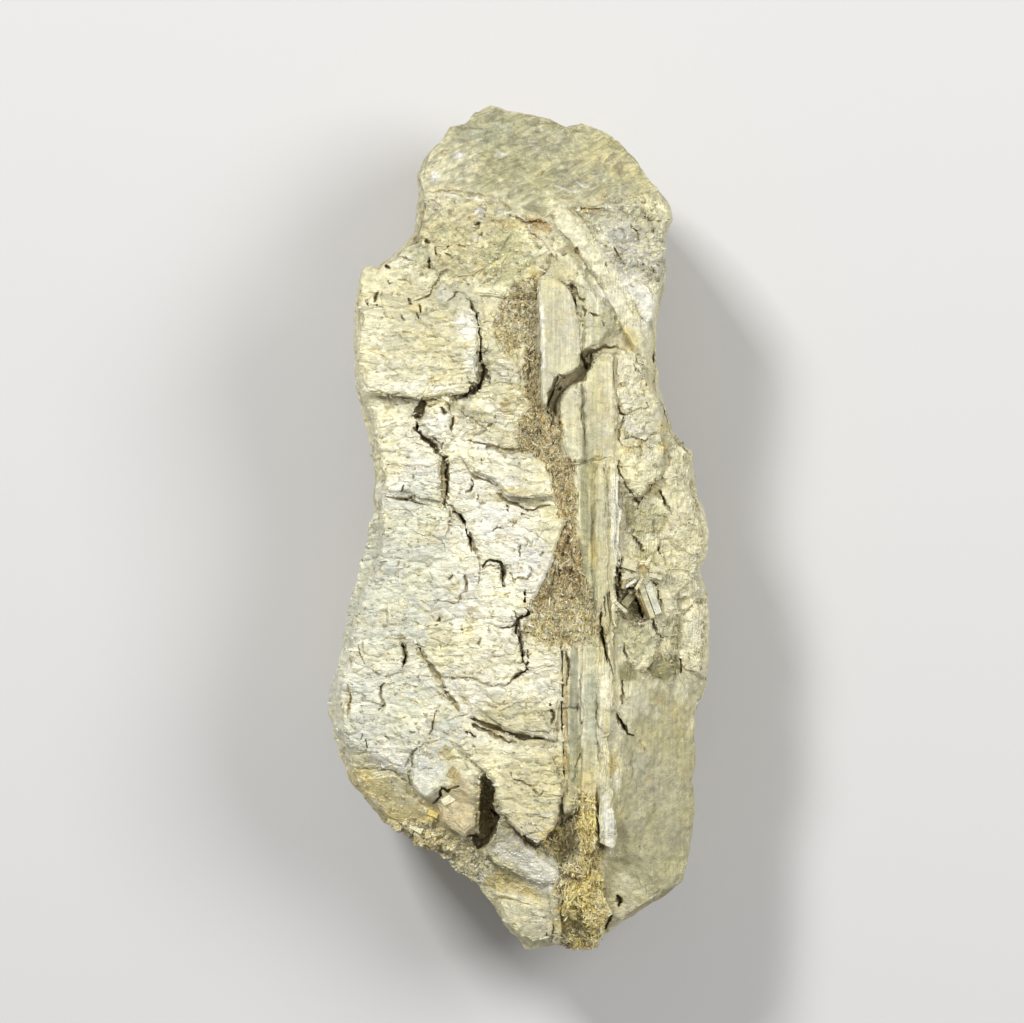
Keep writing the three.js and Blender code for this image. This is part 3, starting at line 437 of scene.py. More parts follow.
        [(-7.2, -9.4, 0.08), (-6.4, -9.8, 0.1), (-5.6, -10, 0.14), (-4.6, -10.2, 0.08)],
        [(-4.4, -8.5, 0.05), (-3.6, -8.6, 0.08), (-2.4, -8.4, 0.04)],
        [(-6.3, -12.7, 0.08), (-5.6, -12.8, 0.14), (-4.6, -12.7, 0.12), (-3.4, -12.9, 0.16),
         (-2.2, -13.1, 0.16), (-1, -13.2, 0.1)],
        [(-4.2, -6, 0.05), (-3.4, -6, 0.08)],
        [(-2.4, -5, 0.05), (-1.5, -5.1, 0.08)],
        [(-2, -15.7, 0.04), (-1.2, -15.2, 0.06), (0.4, -14.8, 0.08), (2.2, -14.9, 0.05)],
        [(0.2, -17.2, 0.08), (1.4, -17.1, 0.14), (2.6, -17.3, 0.12)],
        [(1.9, -11.6, 0.08), (2.8, -11.7, 0.1), (3.6, -11.9, 0.06)],
        [(-1.3, 5.6, 0.04), (0, 5, 0.08), (1, 4.7, 0.04)],
        [(0.6, -0.1, 0.05), (1.6, -0.6, 0.08), (2.6, -1.4, 0.05)]]),
    "undercut": ("bark", 0.5, [
        [(-3.9, -16.5, 0.2), (-3.2, -16.9, 0.4), (-2.4, -17.3, 0.45), (-1.7, -17.7, 0.4),
         (-0.9, -18, 0.25), (-0.2, -18.1, 0.1)],
        [(-4.5, -17.2, 0.2), (-3.6, -17.6, 0.2)],
        [(2.7, -14.9, 0.08), (2.8, -15.2, 0.24), (3, -15.6, 0.22), (2.95, -16.1, 0.24),
         (2.8, -16.6, 0.08)],
        [(4.1, -10.6, 0.08), (4.3, -11.3, 0.26), (4.3, -12, 0.18), (4.2, -13.2, 0.12)]]),
    "tongueRim": ("bark", 0.45, [
        [(-0.9, -24.7, 0.06), (0, -25.6, 0.12), (0.8, -26.3, 0.14), (1.4, -26.8, 0.2),
         (2, -26.7, 0.25), (2.5, -26.2, 0.25), (3.2, -25.8, 0.2), (3.9, -24.9, 0.3),
         (4.3, -24.3, 0.25), (4.5, -24, 0.1)],
        [(-0.6, -20.6, 0.14), (-0.4, -21.1, 0.12), (0.4, -21.3, 0.12), (1.2, -21.7, 0.1),
         (1.9, -22.4, 0.14), (2.2, -22, 0.08)]]),
    "blockGaps": ("shadeBlack", 0.7, [
        [(-6.5, -21.9, 0.16), (-6.6, -22.6, 0.22), (-6.8, -22.9, 0.16), (-7.1, -23.3, 0.1)],
        [(-6.4, -21.9, 0.12), (-5.9, -22.3, 0.24), (-5.6, -22.1, 0.14), (-5, -22, 0.1)],
        [(-4.4, -26.3, 0.2), (-3.6, -26.2, 0.3)],
        [(-2.2, -24, 0.2), (-1.6, -24.4, 0.2)]]),
    "bandLines": ("moss", 0.3, [
        [(5.3, 12, 0.1), (5.4, 10, 0.18), (5.6, 8.4, 0.2), (5.6, 7, 0.08)],
        [(5.1, 5.7, 0.05), (6.1, 5.7, 0.08), (6.8, 6.1, 0.05)],
        [(7.2, 5, 0.12), (7.3, 4.9, 0.16)],
        [(7.7, 5, 0.05), (7.5, 3.4, 0.1), (7.2, 1, 0.06)],
        [(5.2, -13, 0.1), (5.15, -15.4, 0.1)],
        [(6.5, -14.2, 0.06), (6.6, -15.4, 0.14), (6.8, -17, 0.08)],
        [(4.7, -21.5, 0.08), (5.1, -19.6, 0.12), (5.5, -18.6, 0.05)]]),
    "longCrack": ("shadeBlack", 0.7, [
        [(7.3, -5.9, 0.08), (7.2, -7.5, 0.08)],
        [(6.9, -8.1, 0.08), (7.1, -8.6, 0.2), (7.3, -9.6, 0.14), (7.6, -10.6, 0.14),
         (7.8, -11.6, 0.1), (8, -12.9, 0.05)]]),
    "rightEdges": ("bark", 0.45, [
        [(8.5, 10.2, 0.14), (8.6, 9.7, 0.22), (8.8, 9.5, 0.16), (9.6, 9.7, 0.08)],
        [(9.6, 9.7, 0.05), (10.4, 10, 0.08), (11, 10.2, 0.08), (10.9, 10.6, 0.1)],
        [(8.7, 9.3, 0.12), (8.5, 8.3, 0.1), (8.5, 7.5, 0.12), (8.8, 7.1, 0.08)],
        [(10.4, 7.6, 0.1), (10.3, 6.8, 0.1), (10.3, 5.9, 0.08)],
        [(8.6, 5.6, 0.1), (8.4, 5, 0.12), (8.8, 4.1, 0.14), (9.4, 3.2, 0.16), (9.9, 2.5, 0.2),
         (10.2, 2.2, 0.26), (10.1, 1.6, 0.16)],
        [(10.3, 2.3, 0.14), (11, 3.1, 0.14), (11.6, 4.2, 0.1)],
        [(9, 7.6, 0.08), (9.8, 7.9, 0.12), (10.6, 7.4, 0.1), (11.4, 7.8, 0.06)],
        [(10.9, 12.2, 0.12), (10.9, 12, 0.12)],
        [(8.5, 11.9, 0.05), (8.9, 12, 0.12), (9.1, 12.2, 0.06)]]),
    "rightBlack": ("shadeBlack", 0.6, [
        [(12, 3.1, 0.1), (12.2, 2.7, 0.2), (12.5, 2.1, 0.2), (12.7, 1.4, 0.14),
         (12.8, 1, 0.05)],
        [(9.6, 0.1, 0.05), (9.9, -0.8, 0.1), (10.3, -1.4, 0.16), (10.7, -1.9, 0.14)],
        [(11.7, -1.8, 0.16), (11.9, -2.2, 0.12), (12.1, -2.4, 0.05)],
        [(11.3, -4.4, 0.12), (11.7, -4.9, 0.2)],
        [(11.7, -5.2, 0.06), (12, -6.2, 0.12), (12.1, -7.2, 0.05)],
        [(11.4, -7, 0.12), (11.3, -7.6, 0.1)],
        [(11.4, -7.9, 0.16), (11.5, -8.4, 0.22), (11.8, -9, 0.12), (12.2, -9.3, 0.18)],
        [(8.4, -2.8, 0.14), (8.6, -3.3, 0.18)],
        [(8.9, -9.7, 0.05), (9, -10.6, 0.16), (9.3, -11.2, 0.08)],
        [(11, -12, 0.14), (11.4, -11.4, 0.08), (11.9, -11, 0.05)],
        [(13.7, -10.9, 0.14), (13.8, -11.6, 0.12), (13.9, -12.3, 0.16)],
        [(8.2, -15.4, 0.05), (8.4, -16, 0.14), (8.8, -16.4, 0.16), (9.2, -17, 0.3),
         (9.3, -17.5, 0.24), (9.8, -17.6, 0.1)],
        [(8.7, -12.9, 0.1), (8.8, -13.8, 0.12), (8.7, -14.9, 0.1)]]),
    "lowRightLines": ("bark", 0.25, [
        [(10.4, -18, 0.08), (10.7, -18.7, 0.08)],
        [(9.6, -18.9, 0.04), (9.6, -20, 0.08), (9.7, -21.2, 0.05)],
        [(9.1, -20.2, 0.08), (9.1, -21.2, 0.08)],
        [(10.1, -29.5, 0.08), (10.3, -30.5, 0.06)],
        [(10.8, -30.2, 0.06), (10.9, -31.1, 0.08)],
        [(10.5, -27.1, 0.14), (10.6, -27.3, 0.08)],
        [(13.4, -19, 0.05), (13.5, -19.7, 0.06)]]),
    "cavityRim": ("shadeBlack", 1.1, [
        [(8.4, -3.3, 0.2), (8.5, -4.2, 0.5), (8.5, -5.2, 0.6), (8.5, -6.4, 0.3)],
        [(8.8, -5.3, 0.4), (9.9, -5.2, 0.35)],
        [(10.1, -6, 0.3), (10.6, -7, 0.5), (10.9, -7.7, 0.35)]]),
    "footCracks": ("shadeBlack", 0.7, [
        [(8.4, -31.2, 0.2), (8.6, -31.8, 0.34), (8.5, -32.2, 0.12)],
        [(7.9, -33, 0.1), (7.8, -33.7, 0.24), (7.5, -34.2, 0.28)],
        [(3, -33.8, 0.08), (2.95, -34.6, 0.14), (2.8, -35.1, 0.1)],
        [(5.9, -30.9, 0.06), (6.6, -31.8, 0.08)]]),
}


splitShape = {
    "wander": (0.11, 0.05),       # how far the lines wander in long and in short bends, mm
    "windowMargin": 0.4,
    "raggedWidth": (0.35, 1.6),   # least and most that the noise makes of the given width
    "edgeSoftness": 0.05,
    "fullDepthWidth": 0.22,       # a crack this wide has its full depth
    "darkest": (0.35, 2.4),       # how dark a hairline is, and how fast wider ones darken
}


def splitShade(points):
    # how deep the fine cracks go at each point, mm, and how far in a crack of each tone it is, which
    # lays that tone on as painted shade
    longBend, shortBend = splitShape["wander"]
    places = points[:, :2] + (longBend * noiseColumns(points, 0.9, (301, 311))
                              + shortBend * noiseColumns(points, 0.25, (305, 315)))
    ragged = 1 + 0.7 * fractalNoise(points, 0.45, 321, 2)
    broken = np.clip(0.85 + 0.7 * fractalNoise(points, 0.7, 327, 2), 0.25, 1)
    margin = splitShape["windowMargin"]
    hairline, darkening = splitShape["darkest"]
    splitDepth = np.zeros(len(points))
    within = {}
    for tone, depth, lines in splits.values():
        shade = within.setdefault(tone, np.zeros(len(points)))
        for line in lines:
            ends = np.array(line)[:, :2]
            near = ((places > ends.min(axis=0) - margin)
                    & (places < ends.max(axis=0) + margin)).all(axis=1)
            if not near.any():
                continue
            gap, width = lineGap(places[near], line)
            half = width / 2 * np.clip(ragged[near], *splitShape["raggedWidth"])
            part = np.clip((half + splitShape["edgeSoftness"] - gap) / (0.06 + 0.5 * half), 0, 1)
            wide = np.clip(width / splitShape["fullDepthWidth"], 0.25, 1)
            splitDepth[near] = np.maximum(splitDepth[near], depth * wide * part)
            dark = part * np.clip(hairline + darkening * width, 0, 1) * broken[near]
            shade[near] = np.maximum(shade[near], dark)
    return splitDepth, within


def groundShare(points, name):
    # how far each point belongs to a ground, 0 to 1, with an uneven border
    soft, outline = grounds[name]
    gap = insideGap(points[:, :2], outline) + 0.22 * fractalNoise(points, 1.1, 331, 2)
    return smoothStep(-soft, soft, gap)


# the fine skin, cut from the solid

def solidFaces(node):
    # the solid as welded points in mm and triangles
    work = bmesh.new()
    work.from_mesh(node.data)
    bmesh.ops.remove_doubles(work, verts=work.verts, dist=2e-7)
    bmesh.ops.dissolve_limit(work, angle_limit=math.radians(0.6), verts=work.verts,
                             edges=work.edges, use_dissolve_boundaries=False)
    bmesh.ops.triangulate(work, faces=work.faces, quad_method="BEAUTY", ngon_method="BEAUTY")
    work.verts.ensure_lookup_table()
    points = np.array([v.co[:] for v in work.verts])
    faces = np.array([[v.index for v in f.verts] for f in work.faces])
    work.free()
    return (points - zeroPoint) / mm, faces


def makeFineness():
    # the longest edge allowed at each place of the front, on a map of small squares
    cell = 0.1
    low = -stoneSize[:2] / 2 - 1
    counts = np.ceil((stoneSize[:2] + 2) / cell).astype(int)
    column, row = np.meshgrid(np.arange(counts[0]), np.arange(counts[1]))
    places = np.stack([column, row], axis=-1) * cell + low + cell / 2
    longest = np.full(column.shape, skin["frontEdge"])
    for name in skin["grainGrounds"]:
        inside = insideGap(places.reshape(-1, 2), grounds[name][1]) > 0
        longest[inside.reshape(longest.shape)] = skin["grainEdge"]
    for _, _, lines in splits.values():
        for line in lines:
            ends = np.array(line)[:, :2]
            reach = np.array(line)[:, 2].max() / 2 + skin["crackReach"]
            first = np.floor((ends.min(axis=0) - reach - low) / cell).astype(int)
            last = np.ceil((ends.max(axis=0) + reach - low) / cell).astype(int)
            part = (slice(first[1], last[1]), slice(first[0], last[0]))
            window = places[part]
            near = lineGap(window.reshape(-1, 2), line)[0].reshape(window.shape[:2]) < reach
            longest[part] = np.where(near, skin["crackEdge"], longest[part])
    return longest, low, cell


def edgeLimit(points, steep):
    # how long a triangle edge may be at each point
    longest, low, cell = fineness
    column, row = ((points[:, :2] - low) / cell).astype(int).T
    limit = longest[np.clip(row, 0, len(longest) - 1), np.clip(column, 0, len(longest[0]) - 1)]
    limit = np.where(steep, np.maximum(limit, skin["steepEdge"]), limit)
    limit = np.where(points[:, 2] > skin["frontStarts"], limit, skin["sideEdge"])
    return np.where(points[:, 2] < skin["backEnds"], skin["backEdge"], limit)


def faceCross(points, faces):
    # each triangle's normal, as long as twice the triangle's area
    a, b, c = (points[faces[:, i]] for i in range(3))
    return np.cross(b - a, c - a)


def splitLongEdges(points, faces):
    # every edge that is too long is halved, and its triangles are parted to match
    cross = faceCross(points, faces)
    steep = cross[:, 2] < skin["wallRise"] * np.linalg.norm(cross, axis=1)
    for _ in range(skin["mostHalvings"]):
        count = len(points)
        sides = np.stack([faces, np.roll(faces, -1, axis=1)], axis=-1)
        keys = sides.min(axis=-1) * count + sides.max(axis=-1)
        unique, where = np.unique(keys, return_inverse=True)
        where = where.reshape(keys.shape)
        first, last = unique // count, unique % count
        middle = (points[first] + points[last]) / 2
        steepSides = np.bincount(where.ravel(), np.repeat(steep, 3)) > 1.5
        length = np.linalg.norm(points[first] - points[last], axis=1)
        tooLong = length > edgeLimit(middle, steepSides)
        if not tooLong.any():
            break
        newIndex = np.full(len(unique), -1)
        newIndex[tooLong] = count + np.arange(tooLong.sum())
        points = np.vstack([points, middle[tooLong]])
        cut = newIndex[where]
        marked = (cut >= 0).sum(axis=1)
        done, doneSteep = [faces[marked == 0]], [steep[marked == 0]]

        def turned(rows, start):
            order = (start[:, None] + np.arange(3)) % 3
            take = np.arange(len(start))[:, None]
            return faces[rows][take, order], cut[rows][take, order]

        def keep(rows, *triangles):
            for triangle in triangles:
                done.append(np.stack(triangle, axis=1))
                doneSteep.append(steep[rows])

        rows = np.flatnonzero(marked == 1)
        f, c = turned(rows, np.argmax(cut[rows] >= 0, axis=1))
        keep(rows, (f[:, 0], c[:, 0], f[:, 2]), (c[:, 0], f[:, 1], f[:, 2]))
        rows = np.flatnonzero(marked == 2)
        f, c = turned(rows, (np.argmax(cut[rows] < 0, axis=1) + 1) % 3)
        keep(rows, (c[:, 0], f[:, 1], c[:, 1]))
        across = np.linalg.norm(points[f[:, 0]] - points[c[:, 1]], axis=1)
        other = np.linalg.norm(points[c[:, 0]] - points[f[:, 2]], axis=1)
        short, long = across < other, across >= other
        keep(rows[short], (f[short, 0], c[short, 0], c[short, 1]),
             (f[short, 0], c[short, 1], f[short, 2]))
        keep(rows[long], (f[long, 0], c[long, 0], f[long, 2]),
             (c[long, 0], c[long, 1], f[long, 2]))
        rows = np.flatnonzero(marked == 3)
        f, c = faces[rows], cut[rows]
        keep(rows, (f[:, 0], c[:, 0], c[:, 2]), (f[:, 1], c[:, 1], c[:, 0]),
             (f[:, 2], c[:, 2], c[:, 1]), (c[:, 0], c[:, 1], c[:, 2]))
        faces, steep = np.vstack(done), np.concatenate(doneSteep)
    return points, faces


def pointNormals(points, faces):
    cross = faceCross(points, faces)
    total = np.zeros_like(points)
    for i in range(3):
        np.add.at(total, faces[:, i], cross)
    return total / np.maximum(np.linalg.norm(total, axis=1, keepdims=True), 1e-12)


class Neighbours:
    # evens out a value over the skin
    def __init__(self, faces, count):
        pairs = np.vstack([faces[:, [0, 1]], faces[:, [1, 2]], faces[:, [2, 0]]])
        self.first, self.last = pairs[:, 0], pairs[:, 1]
        self.number = np.bincount(self.first, minlength=count).astype(float)

    def mean(self, values):
        if values.ndim == 1:
            return np.bincount(self.first, values[self.last], len(self.number)) / self.number
        return np.column_stack([self.mean(column) for column in values.T])


def localTop(points, reach):
    # the mean height of the front around each point, and how far the front closes it in, 0 to 1
    cell = 0.25
    low = points[:, :2].min(axis=0) - 2 * reach
    column, row = np.floor((points[:, :2] - low) / cell).astype(int).T
    wide = math.ceil(2 * reach / cell)
    top = np.zeros((row.max() + 2 * wide, column.max() + 2 * wide))
    np.maximum.at(top, (row, column), points[:, 2])
    filled = (top > skin["frontStarts"] - 3).astype(float)
    top = top * filled
    steps = round(reach / cell)

    def blur(picture):
        for axis in (0, 1):
            for _ in range(2):
                ends = [(steps + 1, steps) if a == axis else (0, 0) for a in (0, 1)]
                total = np.cumsum(np.pad(picture, ends), axis=axis)
                high = np.take(total, np.arange(2 * steps + 1, total.shape[axis]), axis=axis)
                under = np.take(total, np.arange(0, total.shape[axis] - 2 * steps - 1), axis=axis)
                picture = (high - under) / (2 * steps + 1)
        return picture

    cover = blur(filled)
    smooth = blur(top) / np.maximum(cover, 0.02)
    return smooth[row, column], cover[row, column]


def plateLevel(points, reach):
    # the height of the front around each point with its cracks closed over
    cell = 0.2
    low = points[:, :2].min(axis=0) - 4 * reach
    column, row = np.floor((points[:, :2] - low) / cell).astype(int).T
    steps = round(reach / cell)
    top = np.zeros((row.max() + 4 * steps, column.max() + 4 * steps))
    np.maximum.at(top, (row, column), points[:, 2])
    for pick in (np.maximum, np.minimum):
        for axis in (0, 1):
            slid = top
            for k in range(1, steps + 1):
                slid = pick(slid, pick(np.roll(top, k, axis=axis), np.roll(top, -k, axis=axis)))
            top = slid
    return top[row, column]


def strongest(parts):
    # the largest share of the named grounds at each point, each times its own factor
    return np.max([factor * share[name] for name, factor in parts.items()], axis=0)


points, faces = solidFaces(stoneNode)
print("stage: solid read,", len(faces), "triangles")
fineness = makeFineness()
points, faces = splitLongEdges(points, faces)
print("stage: skin refined,", len(faces), "triangles")

around = Neighbours(faces, len(points))

# places where the low sides are drawn in towards the stone's outline, X and Y down each edge
tucks = {
    "underCap": {"side": -1, "edge": [
        (-8.5, 28.6), (-8.7, 26.6), (-8.8, 25.2), (-9.9, 24), (-10.8, 23.3), (-12.2, 22.7)]},
    "rightWaist": {"side": 1, "edge": [
        (12.5, 20), (12, 18), (11.7, 15), (11.6, 13), (11.8, 11.6), (12.5, 10), (13, 8.8),
        (13.4, 7)]},
}


tucking = {"overlap": 0.15, "pull": 0.8, "reach": 4}


def tuck(points):
    moved = points.copy()
    for place in tucks.values():
        side, edge = place["side"], np.array(place["edge"])[::-1]
        inset = side * (points[:, 0] - np.interp(points[:, 1], edge[:, 1], edge[:, 0]))
        inset = np.clip(inset + tucking["overlap"], 0, tucking["reach"])
        ends = (smoothStep(edge[0, 1] - 0.4, edge[0, 1] + 0.6, points[:, 1])
                * (1 - smoothStep(edge[-1, 1] - 0.6, edge[-1, 1] + 0.4, points[:, 1])))
        moved[:, 0] -= side * tucking["pull"] * inset * ends
    return moved


points = tuck(points)
flatPoints = points.copy()
share = {name: groundShare(points, name) for name in grounds}
onFront = smoothStep(11, 15, points[:, 2])
onSide = 1 - onFront

# how much of the plates' standing height is taken away in each ground, and how deep its floor
# may lie under the ground around it, mm
settled = {"bands": 0.85, "blade": 0.5, "fan": 0.7, "rightPlates": 0.85, "upperRightRough": 0.6,
           "upperRough": 0.5, "leftFace": 0.25, "foot": 0.45, "amberCrumbs": 0.6}
floors = {"groove": 0.5, "triangle": 0.6, "footCrystals": 0.45, "holes": 1.7, "everywhere": 1.1}
# wide cracks that are partly grown shut: what stays open of their depth, how far to either side
# that reaches, and the line that it follows, mm
fills = {
    "shoulderCrackTop": (0.0, 0.85, [
        (-5, 20), (-3.9, 19.2), (-3.4, 17.6), (-3.3, 16.5), (-3.2, 15.4)]),
    "shoulderCrackFoot": (0.45, 0.8, [
        (-3.1, 14.4), (-2.9, 13.2), (-3.3, 12), (-4.4, 11)]),
    "blockSeam": (0.02, 0.8, [
        (-13.6, 11.6), (-10.6, 11.1), (-8.8, 10.8)]),
    "blockSeamEnd": (0.2, 0.7, [(-7.4, 10.8), (-6.2, 10.8), (-5.4, 10.8)]),
    "bladeSide": (0.03, 0.6, [
        (5.2, 21.8), (5.5, 19.5), (5.4, 17), (5.1, 15.2)]),
    "slot": (0.6, 0.6, [(-6.3, 6), (-6.3, 1.8)]),
    "upperSeam": (0.1, 0.6, [
        (-3.6, 20), (-1.4, 20), (1.4, 20.6), (2.2, 23), (1.6, 26)]),
    "innerBand": (0.05, 0.6, [(5.4, 12), (5.4, 5.7)]),
    "outerBand": (0.02, 0.6, [(7.7, 6), (7.6, 0), (7.6, -5)]),
    "plateSide": (0.12, 0.7, [(8.6, 14.5), (8.6, 6)]),
    "plateFoot": (0.04, 0.9, [(8.6, 4), (8.5, 0), (8.3, -2.4)]),
    "plateGap": (0.08, 0.7, [(8.6, 11.2), (10, 10.8), (11.6, 11.2)]),
    "shieldSide": (0.15, 0.8, [
        (8.8, 6.4), (8.8, 4.4), (10.2, 3), (11.4, 4.6), (11.8, 6), (11.7, 8)]),
    "tongueFoot": (0.35, 1.2, [
        (1.8, -27.6), (2.8, -27), (3.8, -26.2), (4.4, -25.2)]),
    "footGap": (0.15, 0.7, [
        (-3, -30.6), (-1, -30.8), (1.2, -31.4), (2.6, -32.6), (2.7, -34)]),
    "footGapUpper": (0.15, 0.7, [
        (-3, -28.4), (-1, -28.9), (1, -29.8), (2.6, -31)]),
    "layeredRim": (0.25, 0.5, [(4.2, -10.2), (4.2, -17), (4.3, -24)]),
}

# low ridges are drawn towards the mean height around them
levelled = {"diagonalBand": 0.65, "lowBlades": 0.45, "rightPlates": 0.4, "foot": 0.6}
# steps between plates that are worn to a soft slope: lowest X and Y, highest X and Y
softSteps = [(3.6, 5.0, 9.0, 8.2), (3.2, -9.8, 8.0, -6.2), (3.9, -25.5, 7.2, -19.5),
             (8.4, -14.6, 17, -11.2)]


settling = {
    "near": 1.0, "wide": 1.6,     # how far the mean heights reach, mm
    "closed": 0.8,                # cracks up to twice this wide are closed over in the level
    "levelDown": -1.2, "levelUp": 0.8,
    "mostLift": 9,
    "softEdge": 0.8, "softPasses": 20, "softPull": 0.7,
}


def settle(points):
    points = points.copy()
    cover = localTop(points, settling["near"])[1]
    wide = localTop(points, settling["wide"])[0]
    for name, part in levelled.items():
        away = np.clip(wide - points[:, 2], settling["levelDown"], settling["levelUp"])
        points[:, 2] += part * share[name] * onFront * away
    level = plateLevel(points, settling["closed"])
    gap = level - points[:, 2]
    amount = strongest(settled)
    amount *= onFront * (1 - smoothStep(0.7, 1.4, gap)) * smoothStep(0.4, 0.8, cover)
    height = points[:, 2] + amount * gap
    for rest, reach, line in fills.values():
        near = 1 - smoothStep(0.7, 1.0, lineGap(points[:, :2], line)[0] / reach)
        lift = np.clip(level - rest - height, 0, settling["mostLift"])
        height = height + lift * near * onFront
    middle = localTop(points, settling["near"])[0]
    for name, floor in floors.items():
        part = share[name] if name in share else 1 - share["holes"]
        lift = np.clip(middle - height - floor, 0, settling["mostLift"])
        height = height + lift * part * onFront * smoothStep(0.6, 0.9, cover)
    points[:, 2] = height
    edge = settling["softEdge"]
    soft = np.zeros(len(points))
    for lowX, lowY, highX, highY in softSteps:
        soft = np.maximum(soft, smoothStep(lowX, lowX + edge, points[:, 0])
                          * (1 - smoothStep(highX - edge, highX, points[:, 0]))
                          * smoothStep(lowY, lowY + edge, points[:, 1])
                          * (1 - smoothStep(highY - edge, highY, points[:, 1])))
    for _ in range(settling["softPasses"]):
        away = around.mean(points[:, 2]) - points[:, 2]
        points[:, 2] += settling["softPull"] * soft * onFront * away
    return points


points = settle(points)

# stretches of the rim that roll over softly: side, X where it starts, lowest and highest Y
rims = [(-1, 11.4, -21, 19.5), (1, 10.4, 7, 19.5)]
rimShape = {"wallBlur": 5, "wallStarts": 9.2, "fade": 3, "passes": 24, "pull": 0.8}


def rollRims(points):
    # also gives how far each point belongs to a rolled rim
    rimShare = np.zeros(len(points))
    sideways = 1 - smoothStep(0.35, 0.7, np.abs(pointNormals(points, faces)[:, 2]))
    for _ in range(rimShape["wallBlur"]):
        sideways = around.mean(sideways)
    fade = rimShape["fade"]
    for side, start, lowY, highY in rims:
        outward = side * points[:, 0]
        wall = smoothStep(0.3, 0.7, sideways) * smoothStep(rimShape["wallStarts"], 10, outward)
        rim = (smoothStep(lowY, lowY + fade, points[:, 1])
               * (1 - smoothStep(highY - fade, highY, points[:, 1]))
               * np.maximum(smoothStep(start, start + 0.9, outward), wall)
               * smoothStep(6, 9, points[:, 2]))
        for _ in range(rimShape["passes"]):
            points = points + (rimShape["pull"] * rim)[:, None] * (around.mean(points) - points)
        rimShare = np.maximum(rimShare, rim)
    return points, rimShare


points, rimShare = rollRims(points)
print("stage: plates settled")

relief = {
    "wander": 0.17,        # how far straight plate edges wander, mm
    "lumps": 0.14,         # slow swelling of every face
    "layerStep": 0.16, "layerSpacing": 1.15, "thinSpacing": 0.53,
    "chipStep": 0.09, "chipTilt": 0.12, "chipGap": 0.08,
    "stripeStep": 0.07, "fibreStep": 0.16,
    "wispStep": 0.09,
    "crystalStep": 0.13,
    "crumbStep": 0.10,
    "rollStep": 0.22,
    "edgeWear": 0.20,
    "grit": 0.05,
}

# where each kind of relief shows, and how strongly
reliefGrounds = {
    "chips": {"rightPlates": 0.85, "upperRough": 0.45, "upperRightRough": 0.7},
    "stripes": {"bands": 1, "blade": 0.8},
    "crystals": {"triangle": 1, "groove": 1, "footCrystals": 1},
    "crumbs": {"belowTriangle": 1, "lowerLeft": 1, "upperRough": 0.35, "amberCrumbs": 1},
    "rolls": {"upperRough": 1, "upperRightRough": 0.8},
    "wisps": {"cap": 1, "upperRough": 0.7, "upperRightRough": 0.5},
}

drift = (1.5 * fractalNoise(points, 7, 41, 3, (1.6, 1, 3))
         + 0.25 * fractalNoise(points, 1.4, 47, 2, (2, 1, 3)))


def layerHeight(points, spacing, seed):
    # thin layers that lie nearly level and break off in small steps at their lower edge
    run = (-(points[:, 1] + drift)) / spacing
    layer = np.floor(run)
    part = run - layer
    keyed = np.column_stack([points[:, 0] / 2.4, layer * 7.3, np.zeros(len(points))])
    reach = smoothStep(-0.35, 0.5, valueNoise(keyed, seed))
    return reach * (part ** 1.4) * (1 - smoothStep(0.86, 1.0, part))


def reliefHeight(points):
    # how far the relief stands out at each point, mm, and the number of the chip it is in
    def noise(size, seed, octaves=2, stretch=(1, 1, 1)):
        return fractalNoise(points, size, seed, octaves, stretch)

    height = relief["lumps"] * noise(4.5, 11, 3, (1, 1.5, 1))
    left = share["leftFace"] * onFront
    layered = left * (0.55 + 0.45 * noise(6, 53))
    layers = (layerHeight(points, relief["layerSpacing"], 61)
              + 0.5 * layerHeight(points, relief["thinSpacing"], 67))
    height += layered * relief["layerStep"] * layers

    bent = points.copy()
    bent[:, 0] += 0.35 * noise(2, 71)
    bent[:, 1] += drift * 0.5
    chip, offset, rim = chipPattern(bent, 1.0, 81, (1.9, 1.0, 6))
    height += left * (relief["chipStep"] * chip + relief["chipTilt"] * 0.5 * offset[:, 1]
                      - relief["chipGap"] * (1 - smoothStep(0, 0.12, rim)))
    chipRight, offset, rim = chipPattern(bent, 1.35, 91, (1.0, 1.3, 5))
    height += strongest(reliefGrounds["chips"]) * onFront * (
        1.1 * relief["chipStep"] * chipRight
        + relief["chipTilt"] * 0.6 * (offset[:, 0] + offset[:, 1])
        - relief["chipGap"] * (1 - smoothStep(0, 0.1, rim)))

    stripes = noise(0.42, 101, 3, (1, 22, 3))
    height += strongest(reliefGrounds["stripes"]) * relief["stripeStep"] * stripes
    softStripes = noise(0.8, 105, 3, (1, 6, 3))
    height += 0.5 * share["lowerRight"] * relief["stripeStep"] * softStripes

    x, y = (points[:, :2] + 1.2 * noiseColumns(points, 5, (111, 117))).T
    turned = np.column_stack([x * 0.8 + y * 0.6, y * 0.8 - x * 0.6, points[:, 2]])
    wisps = fractalNoise(turned, 0.7, 121, 3, (6, 1, 2))
    height += share["cap"] * relief["wispStep"] * wisps

    crystal, facet, _ = chipPattern(points, 0.42, 131)
    keys = np.round(crystal[:, None] * 9999) * np.ones(3)
    lean = np.stack([cellValue(keys, 141 + k) for k in range(2)], axis=-1)
    height += strongest(reliefGrounds["crystals"]) * onFront * relief["crystalStep"] * (
        0.7 * crystal + (facet[:, :2] * lean).sum(axis=1) * 2)

    crumb, _, rim = chipPattern(points, 0.6, 151, (1.2, 1, 1))
    height += strongest(reliefGrounds["crumbs"]) * onFront * relief["crumbStep"] * (
        crumb - 0.8 * (1 - smoothStep(0, 0.15, rim)))

    fibres = noise(0.9, 161, 3, (1, 9, 1)) + 0.7 * noise(2.6, 167, 2, (1, 3, 1))
    height += onSide * relief["fibreStep"] * fibres
    rolling = strongest(reliefGrounds["rolls"]) * onFront
    height += rolling * relief["rollStep"] * noise(1.9, 175, 3, (1.5, 1, 1))
    height += relief["grit"] * noise(0.42, 171)
    return height, chip, chipRight


